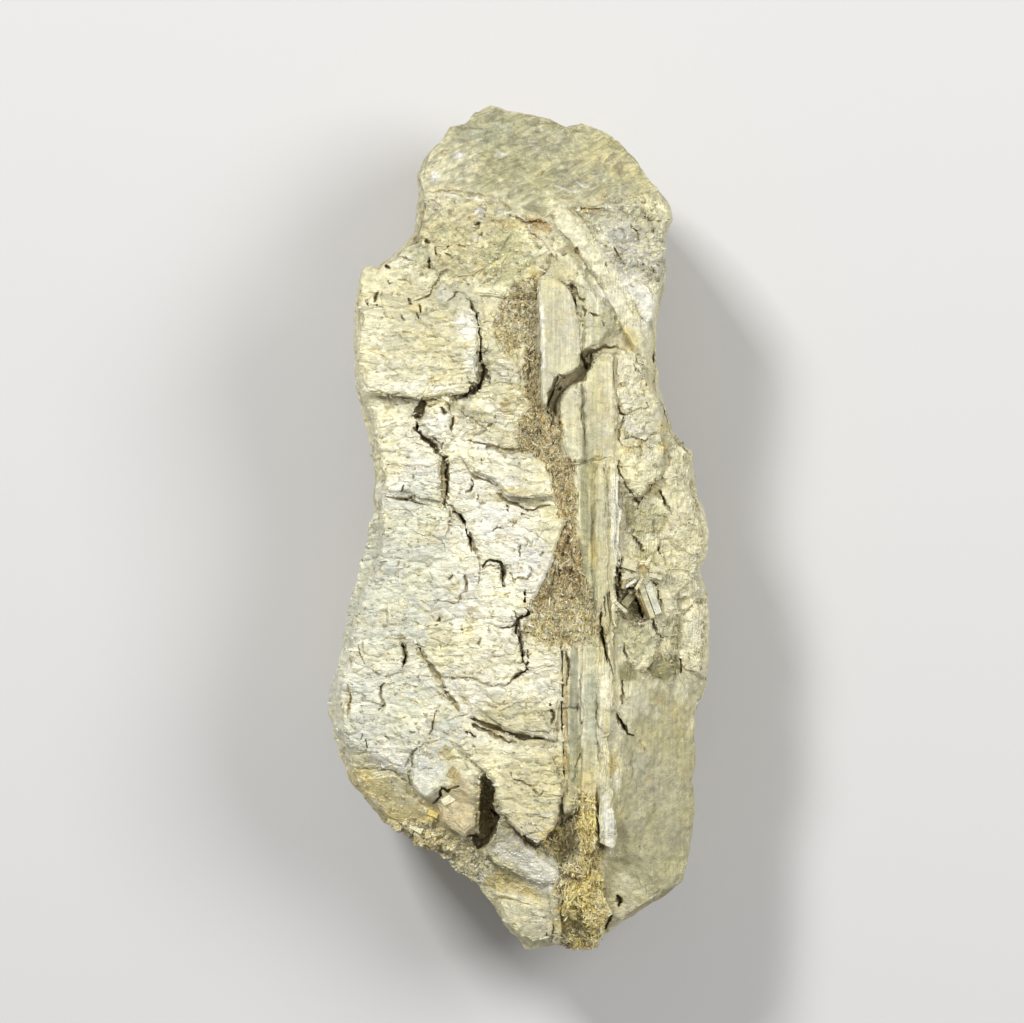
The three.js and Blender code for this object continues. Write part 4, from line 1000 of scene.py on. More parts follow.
normals = pointNormals(points, faces)
height, chip, chipRight = reliefHeight(points)
splitDepth, crackShadeShare = splitShade(points)
splitDepth *= onFront

# plate edges wander and chip, so that no edge stays straight
wander = noiseColumns(points, 1.3, (201, 208, 215), 3)
points = points + relief["wander"] * wander * np.array([1, 1, 0.25])
bulge = ((flatPoints - around.mean(flatPoints)) * normals).sum(axis=1)
worn = np.clip(around.mean(np.clip(bulge, 0, 0.08)) / 0.04, 0, 1)
bite = worn * relief["edgeWear"] * np.clip(0.5 + fractalNoise(points, 0.8, 231, 2), 0, 1.4)
points = points + normals * (height - bite)[:, None]
points[:, 2] -= splitDepth
points[:, 2] = np.maximum(points[:, 2], 0)


def edgeTurn(points, normals):
    # how sharply the skin turns at each point: above 0 on edges, below 0 in corners
    middle = around.mean(points)
    spread = around.mean((points ** 2).sum(axis=1)) - (middle ** 2).sum(axis=1)
    spread = np.sqrt(np.maximum(spread, 1e-6))
    return ((points - middle) * normals).sum(axis=1) / spread


print("stage: relief carved")

finishes = {
    "chalk": (0.90, 0.88, 0.74),
    "paleCream": (0.86, 0.82, 0.59),
    "cream": (0.76, 0.72, 0.49),
    "buff": (0.69, 0.65, 0.43),
    "dullBuff": (0.60, 0.565, 0.375),
    "blade": (0.56, 0.53, 0.36),
    "rosy": (0.74, 0.64, 0.38),
    "sage": (0.71, 0.71, 0.57),
    "ash": (0.60, 0.58, 0.42),
    "straw": (0.61, 0.56, 0.33),
    "dullStraw": (0.54, 0.50, 0.28),
    "capOlive": (0.45, 0.43, 0.26),
    "lilac": (0.74, 0.72, 0.66),
    "oliveTan": (0.53, 0.51, 0.30),
    "tan": (0.51, 0.44, 0.22),
    "oliveGrey": (0.48, 0.45, 0.27),
    "greenGrey": (0.46, 0.47, 0.33),
    "slate": (0.38, 0.38, 0.25),
    "deepSlate": (0.33, 0.32, 0.18),
    "moss": (0.30, 0.28, 0.14),
    "gold": (0.66, 0.56, 0.26),
    "sun": (0.86, 0.70, 0.24),
    "ochre": (0.46, 0.37, 0.14),
    "rust": (0.42, 0.27, 0.09),
    "umber": (0.50, 0.40, 0.19),
    "bark": (0.27, 0.21, 0.10),
    # near-black painted shade for deep hollows, pits and dark cracks
    "shadeBlack": (0.13, 0.095, 0.04),
}

# patches of colour: finish, place, half width and half length in mm, turn in degrees, strength;
# later ones cover earlier ones
patches = [
    ("buff", (-8.8, 15.5), (7.5, 6), 0, 1.0),            # shoulder block
    ("cream", (-9.5, 13.2), (4.5, 1.8), 0, 0.8),
    # painted highlights: the next two chalk spots
    ("chalk", (-4.4, 17.0), (1.0, 1.3), 0, 0.95),
    ("chalk", (-3.9, 14.2), (0.6, 1.2), 0, 0.9),
    ("chalk", (-9, 11.9), (4, 0.5), 0, 0.6),
    ("gold", (-8.7, 18.5), (0.8, 0.5), 0, 0.6),
    ("gold", (-6.4, 17.8), (0.7, 0.4), 0, 0.5),
    ("gold", (-4.3, 15.4), (0.5, 0.25), 0, 0.6),
    ("paleCream", (-12.5, 14), (1.6, 6), 0, 0.5),
    ("chalk", (-7.0, 4.0), (6.5, 7), 0, 0.85),           # centre of the left face
    ("paleCream", (-10.5, 7.5), (2.2, 3.2), 0, 0.6),
    ("cream", (-12.0, 5.3), (0.8, 4.6), 0, 0.7),
    ("chalk", (-6.8, 8.8), (1.0, 1.6), 0, 0.95),
    ("chalk", (-5.0, 3.2), (1.0, 2.0), 0, 0.6),
    ("sage", (-8.5, -2), (6, 6), 0, 1.0),
    ("chalk", (-1.8, -3), (4.5, 6), 0, 0.95),
    ("buff", (-3, 8.2), (3.4, 0.8), -18, 0.8),
    ("paleCream", (-3.3, 5.4), (3, 1.2), -12, 0.7),
    ("chalk", (-1.5, -13.5), (5.5, 5.5), 0, 0.6),        # layered plates
    ("cream", (-2.5, -10.5), (4.5, 1.6), 0, 0.2),
    ("dullBuff", (-0.3, -15.0), (3.4, 1.0), -5, 0.4),
    ("dullStraw", (-0.5, -16.2), (3.8, 1.2), -5, 0.65),
    ("sage", (-12.6, -10), (5, 9.5), 0, 1.0),
    ("chalk", (-12.8, -14), (3, 4.5), 0, 0.4),
    ("sage", (-9, -17), (5, 4), 0, 0.8),
    ("chalk", (-10.8, -19.4), (1.7, 1.2), -15, 0.8),
    ("chalk", (-7.3, -15.7), (0.9, 0.7), 20, 0.9),
    ("chalk", (-8.8, -11.8), (0.8, 0.9), 0, 0.8),
    ("straw", (1.2, -22.5), (3.6, 4.5), 0, 0.75),        # tongue
    ("cream", (-2.6, -19.6), (2.2, 1.4), 0, 0.6),
    ("moss", (-12.5, -12.5), (0.25, 0.4), 0, 0.4),
    ("capOlive", (2.3, 32.6), (13, 5.8), 0, 1.0),        # cap
    ("dullBuff", (-6.0, 30.8), (2.6, 3.2), -35, 0.9),
    ("dullStraw", (8.5, 30.6), (4.5, 3.2), -35, 0.85),
    ("oliveTan", (7.5, 29.0), (1.6, 0.9), -30, 0.7),
    ("tan", (8.3, 30.3), (0.6, 0.4), 0, 0.5),
    ("tan", (7.3, 27.8), (0.8, 0.4), 0, 0.5),
    ("moss", (1.3, 26.9), (1.1, 0.35), -10, 0.7),
    ("lilac", (-5.1, 31.5), (0.45, 0.4), 0, 0.9),
    ("lilac", (-7.0, 29.7), (0.5, 0.5), 0, 0.8),
    ("lilac", (-1.6, 31.6), (0.7, 0.35), 0, 0.5),
    ("greenGrey", (-2.5, 33.4), (2.2, 0.9), 20, 0.6),
    ("straw", (-4.6, 24.2), (5, 3.6), 0, 0.9),           # rough ground under the brow
    ("oliveTan", (-0.6, 22.8), (2.2, 2.4), 0, 0.9),
    ("oliveTan", (-6.2, 25.1), (1.1, 0.7), 0, 0.7),
    ("oliveTan", (-0.8, 24.8), (0.9, 0.5), 0, 0.6),
    ("greenGrey", (-8.4, 23.2), (1.5, 1.0), 0, 0.6),
    ("gold", (-1.0, 25.7), (1.5, 0.5), -10, 0.7),
    ("lilac", (-3.3, 26.6), (0.4, 0.35), 0, 0.9),
    ("lilac", (-3.6, 24.5), (0.3, 0.3), 0, 0.9),
    ("lilac", (-6.3, 19.9), (0.5, 0.7), 0, 0.7),
    ("greenGrey", (-5.9, 19.6), (1.6, 1.2), 0, 0.5),
    ("umber", (-5.2, 23.6), (0.35, 0.3), 0, 0.5),
    ("umber", (-6.3, 22.6), (0.3, 0.3), 0, 0.5),
    ("chalk", (-9.8, 22.6), (1.2, 0.5), 0, 0.5),
    ("rust", (1.9, 25.6), (0.9, 0.5), -20, 0.6),
    ("umber", (1.4, 24.7), (0.5, 0.4), 0, 0.8),
    ("ash", (1.5, 22.6), (0.6, 1.1), 0, 0.6),
    ("gold", (1.4, 21.3), (0.6, 0.7), 0, 0.9),
    ("ochre", (0.5, 18.8), (1.0, 2.0), 0, 0.75),
    ("bark", (-0.1, 20.2), (0.5, 0.4), 0, 0.8),
    ("gold", (-1.1, 16.2), (0.9, 1.6), 0, 0.7),
    ("ash", (9.1, 23.6), (4.6, 4.2), 0, 0.95),           # upper right
    ("lilac", (8.3, 23.6), (1.8, 2.4), 0, 0.35),
    ("chalk", (7.2, 24.3), (0.5, 0.4), 0, 0.7),
    ("umber", (6.2, 26.7), (1.0, 0.3), 0, 0.7),
    ("chalk", (9.8, 20.0), (2.0, 1.3), -30, 0.95),
    # painted highlight: the next chalk spot
    ("chalk", (10.7, 18.2), (0.9, 1.8), 10, 0.9),
    ("moss", (11.3, 17.1), (0.2, 0.8), 15, 0.5),
    ("gold", (9.5, 15.9), (0.8, 1.2), 20, 0.75),
    ("sun", (9.0, 16.7), (0.35, 0.35), 0, 0.7),
    ("umber", (9.5, 13.4), (0.3, 0.4), 0, 0.5),
    ("paleCream", (7.0, 21.4), (1.0, 6.6), 36, 1.0),     # diagonal pale band
    ("oliveGrey", (5.9, 21.4), (0.5, 2.2), 36, 0.9),
    ("umber", (4.7, 23.2), (0.4, 0.8), 30, 0.7),
    ("blade", (3.2, 16.8), (2.1, 5.8), 0, 1.0),          # blade
    # painted highlight along the blade's left rim
    ("chalk", (1.9, 17.0), (0.28, 4.0), 3, 0.8),
    ("paleCream", (4.2, 16.0), (0.4, 4.6), 0, 0.4),
    ("oliveTan", (6.3, 17.4), (0.9, 3.2), 15, 0.6),
    ("slate", (7.5, 18.1), (0.4, 1.3), 0, 0.8),
    ("slate", (6.3, 16.0), (0.15, 1.4), 10, 0.5),
    ("buff", (4.3, 8.7), (0.9, 3.0), 0, 0.9),            # bands
    ("straw", (6.8, 0), (2.0, 15), 0, 0.8),
    ("gold", (6.8, 10.5), (0.8, 2.2), 0, 0.4),
    ("paleCream", (5.0, 1.5), (0.28, 4.0), 0, 0.9),
    ("deepSlate", (5.6, 0.0), (0.38, 10), 0, 0.9),
    ("oliveTan", (6.4, 2), (0.5, 10.5), 0, 0.7),
    ("dullBuff", (7.2, 3), (0.4, 9.5), 0, 0.7),
    ("cream", (8.2, 2), (0.55, 9.5), 0, 0.9),
    ("gold", (6.8, 5.8), (0.45, 0.8), 0, 0.8),
    ("gold", (6.4, -1.8), (0.35, 1.8), 0, 0.7),
    ("greenGrey", (6.2, -8), (0.5, 5), 0, 0.6),
    ("slate", (4.7, -17), (0.45, 8.0), 0, 0.95),
    ("chalk", (5.15, -14.5), (0.12, 2.6), 0, 0.7),
    ("moss", (5.28, -14.5), (0.06, 2.6), 0, 0.7),
    ("chalk", (5.42, -14.5), (0.12, 2.6), 0, 0.6),
    ("greenGrey", (6.2, -15), (0.6, 4.5), 0, 0.8),
    ("paleCream", (7.3, -14), (0.45, 2.4), 0, 0.9),
    ("gold", (7.5, -16.8), (0.25, 1.4), 0, 0.8),
    ("oliveGrey", (5.9, -20.5), (0.7, 2.6), 0, 0.8),
    ("cream", (12.4, 4), (4.4, 11), 0, 1.0),             # right plates
    ("paleCream", (10.4, 11.5), (2.0, 3.5), 0, 0.8),
    ("chalk", (10.1, 8.6), (1.4, 1.0), 0, 0.6),
    ("cream", (14.6, 3.5), (1.4, 5), 0, 0.8),
    ("moss", (9.5, 0.8), (0.55, 1.6), 6, 0.85),
    ("ash", (11.3, 0.6), (1.4, 1.3), 0, 0.8),
    ("moss", (11.1, -2.4), (0.9, 0.5), -25, 0.6),
    ("buff", (12.5, 10.8), (3.2, 3.6), 0, 0.8),
    ("gold", (10.0, 6.8), (1.1, 0.5), 20, 0.6),
    ("gold", (11.5, 3.3), (0.5, 0.6), 0, 0.6),
    ("gold", (12.4, 8.5), (0.5, 0.6), 0, 0.7),
    ("sun", (12.2, 7.0), (0.4, 0.5), 0, 0.5),
    ("gold", (8.8, 12.0), (0.4, 0.4), 0, 0.5),
    ("gold", (11.0, 12.2), (0.5, 0.3), 0, 0.5),
    ("paleCream", (14.2, -9.4), (0.8, 3.2), 0, 0.9),
    ("oliveGrey", (13.4, -9.0), (0.5, 2.1), -6, 0.85),
    ("moss", (9.2, -12.2), (0.7, 0.8), 0, 0.8),
    ("moss", (12.4, -11.9), (1.4, 0.9), 0, 0.9),
    ("umber", (10.7, -6.6), (0.25, 1.1), -15, 0.6),
    ("gold", (10.6, -3.4), (0.5, 0.4), 0, 0.7),
    ("oliveGrey", (12, -23.4), (4.6, 10.4), 0, 1.0),     # lower right face
    ("ash", (12.4, -22.0), (1.4, 3.2), 0, 0.25),
    ("ash", (10.3, -20), (0.7, 1.6), 0, 0.35),
    ("ash", (10.4, -24), (0.6, 1.8), 0, 0.3),
    ("buff", (9.8, -31.0), (1.4, 1.6), 0, 0.5),
    ("umber", (12.1, -14.6), (0.25, 0.4), 0, 0.6),
    ("umber", (12.9, -13.8), (0.2, 0.2), 0, 0.6),
    ("bark", (11, -32), (4.6, 0.35), 28, 0.5),
    ("gold", (8.0, -19.9), (0.45, 1.2), 0, 0.9),
    ("chalk", (7.6, -25.0), (0.5, 2.6), 4, 0.95),
    ("chalk", (8.3, -21.4), (0.35, 0.9), 0, 0.7),
    ("oliveGrey", (-4.0, 9.6), (2.0, 0.55), -20, 0.85),
    ("umber", (-1.0, 10.4), (0.4, 0.9), 0, 0.8),
    ("umber", (1.0, 7.7), (0.9, 1.2), 0, 0.7),
    ("greenGrey", (-2.7, 14.1), (0.35, 1.0), 0, 0.8),
    ("gold", (-0.2, 3.1), (1.4, 0.28), -6, 0.8),
    ("moss", (0.6, 2.1), (1.8, 0.3), -4, 0.7),
    ("greenGrey", (0.5, 2.1), (0.4, 0.2), 0, 0.6),
    ("gold", (-0.3, 0.6), (0.4, 0.5), 0, 0.4),
    ("gold", (-1.3, -5.7), (0.8, 0.3), 0, 0.6),
    ("gold", (-3.1, 5.7), (0.3, 0.3), 0, 0.5),
    ("tan", (-4.5, -14.4), (0.4, 0.7), 30, 0.5),
    ("umber", (-14.3, -14.2), (0.3, 1.5), 0, 0.5),
    ("umber", (4.0, -15.5), (0.25, 5.0), 0, 0.8),        # brown rim of the layered plates
    ("umber", (-7.9, 10.6), (0.5, 0.2), 0, 0.6),
    ("cream", (-12.0, -21.7), (3.6, 1.5), -18, 1.0),     # slope under the left face
    ("gold", (-12.4, -21.9), (2.8, 1.1), -18, 0.75),
    ("umber", (-7.7, -23.3), (0.9, 0.5), 0, 0.7),
    ("gold", (-8.6, -25.4), (4.2, 1.9), -28, 0.9),
    ("sun", (-7.5, -24.6), (0.6, 0.3), 0, 0.6),
    ("paleCream", (-8.9, -25.8), (0.8, 0.4), 0, 0.5),
    ("sage", (-7.5, -20.6), (1.5, 2.2), 0, 1.0),
    ("gold", (-6.0, -19.1), (1.0, 0.7), -20, 0.7),
    ("umber", (-5.2, -21.3), (0.5, 0.7), 0, 0.9),
    ("rosy", (-5.0, -23.8), (1.3, 1.9), 0, 0.9),
    ("umber", (-5.7, -25.0), (0.5, 0.6), 0, 0.4),
    ("tan", (-3.0, -23.4), (0.9, 2.5), 0, 0.8),
    ("bark", (-3.6, -26.6), (1.0, 0.5), 0, 0.5),
    ("chalk", (1.6, -28.3), (3.0, 1.6), -42, 0.9),       # foot
    ("gold", (0.3, -27.1), (0.7, 0.3), -30, 0.7),
    ("chalk", (-0.6, -27.6), (1.6, 0.35), -15, 0.9),
    ("ash", (-1.2, -29.2), (1.4, 0.5), -8, 0.5),
    ("lilac", (-3.0, -29.6), (0.4, 0.8), 0, 0.7),
    ("gold", (0.0, -30.4), (2.6, 0.6), -32, 0.8),
    ("oliveTan", (-1.6, -30.3), (1.3, 0.6), -10, 0.7),
    ("cream", (0.9, -33.6), (2.0, 2.0), -20, 0.9),
    ("paleCream", (3.2, -32.6), (0.4, 2.2), 0, 0.7),
    ("slate", (3.3, -34.8), (0.2, 0.6), 8, 0.7),
    ("gold", (3.4, -26.4), (1.5, 1.6), 0, 0.9),
    ("gold", (5.8, -22.6), (0.8, 2.6), 0, 0.7),
    ("sun", (5.9, -26.0), (0.9, 2.6), 0, 0.95),
    ("sun", (5.4, -32.0), (2.0, 4.2), 0, 1.0),
    ("umber", (4.9, -29.3), (0.8, 0.8), 0, 0.7),
    ("rust", (4.8, -35.7), (2.4, 0.35), 0, 0.7),
    ("gold", (3.6, -8.3), (2.6, 1.4), 0, 0.8),
    ("oliveTan", (2.2, -8.8), (1.5, 0.6), -15, 0.9),
    ("oliveTan", (4.6, -9.2), (1.3, 0.7), 0, 0.8),
]

# narrow streaks: finish, width in mm, strength and the line that they follow
strokes = [
    ("slate", 0.30, 0.8, [(7.2, 19.8), (7.7, 18.8), (7.8, 17.6), (7.5, 16.6)]),
    ("slate", 0.14, 0.7, [(6.9, 19.4), (7.2, 18), (7.1, 16.2)]),
    ("chalk", 0.22, 0.6, [(4.4, 22.4), (5.6, 20.9), (6.5, 19.4), (6.8, 17.8)]),
    ("chalk", 0.18, 0.5, [(5.9, 19.6), (6.2, 18.2), (6.1, 15.6)]),
    ("moss", 0.10, 0.6, [(5, 22), (6, 20.6), (6.9, 18.9)]),
    ("moss", 0.08, 0.5, [(6.6, 17.2), (6.7, 15.4)]),
    ("cream", 0.35, 0.7, [(-0.9, 15.2), (-0.7, 13), (-0.4, 11)]),
    ("moss", 0.10, 0.6, [(0.1, 15), (0.2, 12.8), (0.6, 10.6)]),
    ("greenGrey", 0.5, 0.7, [(-6.9, 32.3), (-4.6, 33), (-2.8, 33.9), (-1, 34.2)]),
    ("moss", 0.18, 0.6, [(-6.5, 31.8), (-4.4, 32.6), (-2.8, 33.5), (-1.3, 33.9)]),
    ("moss", 0.22, 0.5, [(-3.2, 33), (-1.6, 32.2), (0, 31), (0.8, 30)]),
    ("moss", 0.20, 0.5, [(-1.8, 30), (-1, 29.6), (-0.7, 28.6)]),
    ("moss", 0.30, 0.5, [(4.2, 31.3), (4.3, 32.6), (4.8, 33.6), (5.5, 34)]),
    ("dullBuff", 0.30, 0.7, [(-4.4, 31), (-2.8, 30.6), (-1.6, 29.5), (-0.6, 28.2)]),
    ("dullBuff", 0.35, 0.6, [(0.4, 33.4), (1.6, 32.2), (3.2, 31.2), (4.6, 30)]),
    ("dullBuff", 0.30, 0.6, [(1.8, 34), (3.4, 33), (4.4, 31.8)]),
    ("gold", 0.16, 0.7, [(7, 32), (7.6, 32.6), (8.2, 33)]),
    ("gold", 0.14, 0.5, [(6.4, 31), (7.6, 31.4), (8.8, 31.3)]),
    ("chalk", 0.12, 0.8, [(5, 29.1), (5.5, 28.9), (6.1, 29)]),
    ("chalk", 0.12, 0.6, [(3, 28.9), (4.2, 28.4), (5.6, 28.4)]),
    ("slate", 0.35, 0.6, [(3, 29.6), (4.4, 29.3), (6.2, 30), (8, 29.3)]),
    ("slate", 0.30, 0.5, [(-6.4, 29), (-5, 29.4), (-3.4, 29)]),
    ("chalk", 0.22, 0.8, [(-7.6, 28.2), (-5.6, 28.1), (-3.8, 27.8), (-2.6, 27.5)]),
    ("chalk", 0.18, 0.9, [(-1.6, 26.6), (-0.2, 26.4), (0.8, 25.7), (1.3, 25)]),
    ("rust", 0.22, 0.8, [(0.4, 26.2), (1.3, 25.9), (2, 25.7), (2.7, 25)]),
    ("ochre", 0.25, 0.7, [(-1, 15.8), (-0.6, 14.7), (-0.2, 13.8)]),
    ("moss", 0.16, 0.6, [(1, 19), (1.1, 17.6), (0.9, 16.4)]),
    ("umber", 0.66, 0.85, [(-6.25, 5.8), (-6.25, 2.0)]),
    ("ochre", 0.9, 0.7, [(-2.9, -21.6), (-2.7, -23.6), (-2.5, -25.6)]),
    ("gold", 0.22, 0.5, [(-12.6, 15), (-10, 14.6), (-7.4, 14.9), (-5.4, 14.4)]),
    ("gold", 0.16, 0.5, [(-11.4, 16.4), (-9.2, 16.2), (-7, 16.5)]),
    ("oliveTan", 0.20, 0.5, [(-11.8, 13.6), (-9, 13.1), (-6.4, 13.3)]),
    ("chalk", 0.25, 0.6, [(5.1, 22.6), (6.6, 20.7), (7.9, 18.8)]),
    ("slate", 0.35, 0.7, [(5.3, 11.5), (5.5, 9.6), (5.6, 8)]),
    ("gold", 0.30, 0.5, [(-2.4, 8.4), (-0.6, 7.8), (0.6, 7.2)]),
    ("umber", 0.30, 0.7, [(-3.8, -16.1), (-2.6, -16.7), (-1.4, -17.4), (-0.2, -17.7)]),
    ("oliveTan", 0.25, 0.5, [(-4.8, -10.9), (-2.2, -11.4), (0.2, -11.2)]),
    ("gold", 0.25, 0.6, [(2.9, -28.6), (2.4, -29.6), (2.8, -30.6)]),
    ("buff", 0.9, 0.7, [(7.6, -27.5), (8, -30), (7.8, -33)]),
    ("bark", 0.25, 0.6, [(1.6, -35.9), (4.2, -35.9), (6.9, -35.6)]),
    ("umber", 0.30, 0.7, [(9.6, -33.2), (12, -32), (14, -30.4)]),
]

# flat broken faces that differ in colour from the ground around them: finish, strength, outline
facets = [
    ("oliveTan", 0.8, [
        (8.1, -7.3), (9.3, -8), (11, -8.3), (11.6, -9.6), (10.6, -11), (9.6, -11.2), (9, -9.6),
        (8.3, -11)]),
    ("rust", 0.75, [
        (4.3, 0.6), (5, -1), (5.4, -2.6), (5.2, -4.6), (4.2, -4.4), (3.4, -3.6), (3.6, -1.6)]),
    ("rust", 0.7, [(1.6, -5.8), (2.2, -4.4), (2.9, -5), (2.6, -6.4), (1.7, -6.7)]),
    ("straw", 0.6, [
        (1.8, -7), (3, -5.6), (5.6, -5), (6.3, -6.4), (6.8, -8.6), (4.6, -9.8), (2.4, -9.6),
        (0.9, -8.5)]),
    ("moss", 1.0, [
        (11, -12), (11.9, -11), (13.6, -11), (13.9, -12.3), (12.5, -13), (11.3, -12.7)]),
    ("moss", 1.0, [(8.5, -11.8), (9.2, -11.1), (9.8, -11.7), (10, -12.9), (8.5, -13)]),
    ("oliveGrey", 0.8, [
        (12.2, -8), (13.2, -7), (13.8, -9), (13.6, -10.8), (13, -10.8), (12.9, -9.6),
        (12.3, -9.2)]),
    ("cream", 0.8, [
        (13.4, -6.5), (14.5, -6.3), (15, -9.5), (15, -12.3), (14, -12.3), (13.8, -9)]),
    ("moss", 0.8, [(9, 2.2), (10, 2.1), (9.9, -0.5), (9.4, -0.3), (9, 1.2)]),
    ("oliveTan", 0.9, [
        (10.1, 2), (11.2, 1.8), (12.4, 1.8), (12.7, 0.8), (12.2, -0.6), (10.2, -0.9), (9.9, 0)]),
    ("oliveTan", 0.8, [(10.2, -1.9), (11.6, -1.9), (12, -2.6), (11, -3), (10.3, -2.7)]),
    ("cream", 0.8, [
        (8.6, 5.4), (9.6, 5.9), (10.9, 5.9), (12, 5.3), (11.7, 4), (10.8, 2.8), (10.1, 2.3),
        (9.3, 3.2)]),
    ("chalk", 0.55, [(7.8, 4.5), (8.9, 4.2), (9, 0), (9, -2), (8.2, -2.6), (7.8, -1)]),
    ("chalk", 0.35, [
        (-8.6, -18.2), (-7.5, -18.1), (-7, -19), (-6.1, -20.3), (-5.8, -21.6), (-6.4, -22),
        (-7, -22.9), (-8, -22.8), (-9, -22), (-9.1, -20)]),
    ("rosy", 0.9, [
        (-5.8, -22.3), (-5, -22), (-4.2, -20.9), (-3.9, -21.9), (-3.6, -25.8), (-4.2, -26.3),
        (-6.5, -25), (-7.2, -23.8)]),
    ("paleCream", 0.7, [(6.3, -30.6), (7, -31), (7.3, -32.4), (6.8, -33), (6.4, -32)]),
    ("umber", 0.9, [(-5.8, -21.9), (-5.6, -20.9), (-4.7, -20.3), (-5, -21.9)]),
    ("gold", 0.8, [
        (-3, -30.5), (-2.5, -29.2), (-1.3, -29.3), (1.5, -30.8), (2.6, -32.3), (1, -31.2),
        (-1.3, -31)]),
    ("chalk", 1.0, [
        (-2.3, -27.1), (-0.8, -26.4), (0.3, -27.6), (1, -28.2), (-0.3, -28.3), (-1.4, -27.9)]),
    ("chalk", 1.0, [
        (0, -26), (1.2, -27), (2, -28), (3.8, -28.9), (3.3, -30), (2.8, -31), (1.3, -30),
        (0.3, -28.6)]),
    ("cream", 0.9, [
        (-2.2, -31.5), (-1, -31.2), (0.8, -31.8), (2.7, -33.2), (2.8, -34.6), (2, -35.4),
        (0.8, -36), (-0.3, -35), (-0.2, -33.5), (-2, -32.5)]),
]

# the darkest and the lightest that any channel may be
paintLimits = (0.01, 0.95)

# whole grounds in one finish: finish and strength
painted = {"triangle": ("umber", 0.9), "groove": ("umber", 0.65), "belowTriangle": ("gold", 0.4)}


def blend(colour, finish, amount):
    # the colour drawn towards a finish, by an amount of 0 to 1 at each point
    return colour + (np.array(finishes[finish]) - colour) * np.clip(amount, 0, 1)[:, None]


def paintStone(points, normals):
    colour = np.tile(np.array(finishes["cream"]), (len(points), 1))
    colour = blend(colour, "straw", onSide)
    uneven = (1 + 0.32 * fractalNoise(points, 1.3, 401, 3)
              + 0.18 * fractalNoise(points, 0.4, 411, 2))
    for finish, (x, y), (width, length), turn, strength in patches:
        angle = math.radians(turn)
        dx, dy = points[:, 0] - x, points[:, 1] - y
        across = (dx * math.cos(angle) + dy * math.sin(angle)) / width
        along = (dy * math.cos(angle) - dx * math.sin(angle)) / length
        reach = np.hypot(across, along) * uneven
        colour = blend(colour, finish, strength * onFront * (1 - smoothStep(0.7, 1.2, reach)))
    bent = points[:, :2] + 0.12 * noiseColumns(points, 0.7, (441, 447))
    for finish, width, strength, line in strokes:
        near = 1 - smoothStep(0.5, 1.1, lineGap(bent, line)[0] / width * 2 * uneven)
        colour = blend(colour, finish, strength * near * onFront)
    for name, (finish, strength) in painted.items():
        colour = blend(colour, finish, strength * share[name] * onFront)
    for finish, strength, outline in facets:
        inside = smoothStep(-0.08, 0.16, insideGap(bent, outline))
        colour = blend(colour, finish, strength * inside * onFront)

    # single chips and wide clouds differ a little
    left = share["leftFace"] * onFront
    colour *= (1 + left * 0.05 * chip + share["rightPlates"] * 0.06 * chipRight)[:, None]
    cloudy = fractalNoise(points, 2.2, 421, 3)[:, None]
    colour *= (1 + 0.08 * cloudy) * (1 + 0.05 * cloudy * np.array([0.2, 0, -1.6]))
    rusty = smoothStep(0.35, 0.8, fractalNoise(points, 0.9, 427, 3)) * onFront
    colour = blend(colour, "gold", 0.35 * rusty)

    # painted shade in hollows: tan in shallow ones, bark on walls and in deeper ones, near black in
    # the deepest, the tan and bark partly also a brown stain; the places whose own colour is given
    # above are spared, apart from the near-black shade
    top, cover = localTop(points, 0.8)
    hollow = np.clip(top - points[:, 2], 0, 4) * onFront * smoothStep(0.7, 0.95, cover)
    steep = (1 - smoothStep(0.25, 0.75, normals[:, 2])) * smoothStep(14, 17, points[:, 2])
    shadeAndStainMask = 1 - 0.85 * strongest({"slope": 1, "lowerLeft": 1})
    shadeAndStainMask = shadeAndStainMask * (1 - 0.7 * strongest(reliefGrounds["crystals"]))
    for part, kept in ((share["holes"], 0.6), (share["foot"], 0.85), (rimShare, 0.8)):
        shadeAndStainMask = shadeAndStainMask * (1 - kept * part)
    tanPatchiness = np.clip(0.6 + 0.5 * fractalNoise(points, 0.9, 431, 2), 0, 1)
    colour = blend(colour, "tan", tanPatchiness * smoothStep(0.1, 0.45, hollow) * 0.5 * shadeAndStainMask)
    colour = blend(colour, "bark", steep * 0.5 * smoothStep(0.1, 0.5, hollow) * shadeAndStainMask)
    colour = blend(colour, "bark", smoothStep(0.4, 1.1, hollow) * 0.55 * shadeAndStainMask)
    colour = blend(colour, "shadeBlack", smoothStep(1.4, 3.4, hollow) * 0.5)
    # painted highlight on the edges, partly also edge wear, and painted shade in the corners
    turn = edgeTurn(points, normals)
    colour = blend(colour, "chalk", smoothStep(0.14, 0.5, turn) * 0.4 * onFront)
    colour = blend(colour, "moss", smoothStep(0.10, 0.5, -turn) * 0.45 * onFront)
    # painted shade in the fine cracks, in each crack's tone
    for tone, within in crackShadeShare.items():
        colour = blend(colour, tone, within * onFront * 0.9)
    return np.clip(colour, *paintLimits)


normals = pointNormals(points, faces)
colour = paintStone(points, normals)
# weave tells the finish which way its fine grain runs: along Y, across it, or into crystals
weave = np.column_stack([
    np.clip(share["bands"] + share["blade"] + share["fan"] + 0.4 * share["lowerRight"]
            + onSide * 0.8, 0, 1),
    np.clip((share["leftFace"] + 0.5 * share["rightPlates"]) * onFront, 0, 1),
    np.clip(share["triangle"] + share["groove"] + share["footCrystals"]
            + 0.6 * share["belowTriangle"] + 0.6 * share["lowerLeft"]
            + share["amberCrumbs"], 0, 1) * onFront,
])
print("stage: colours laid")


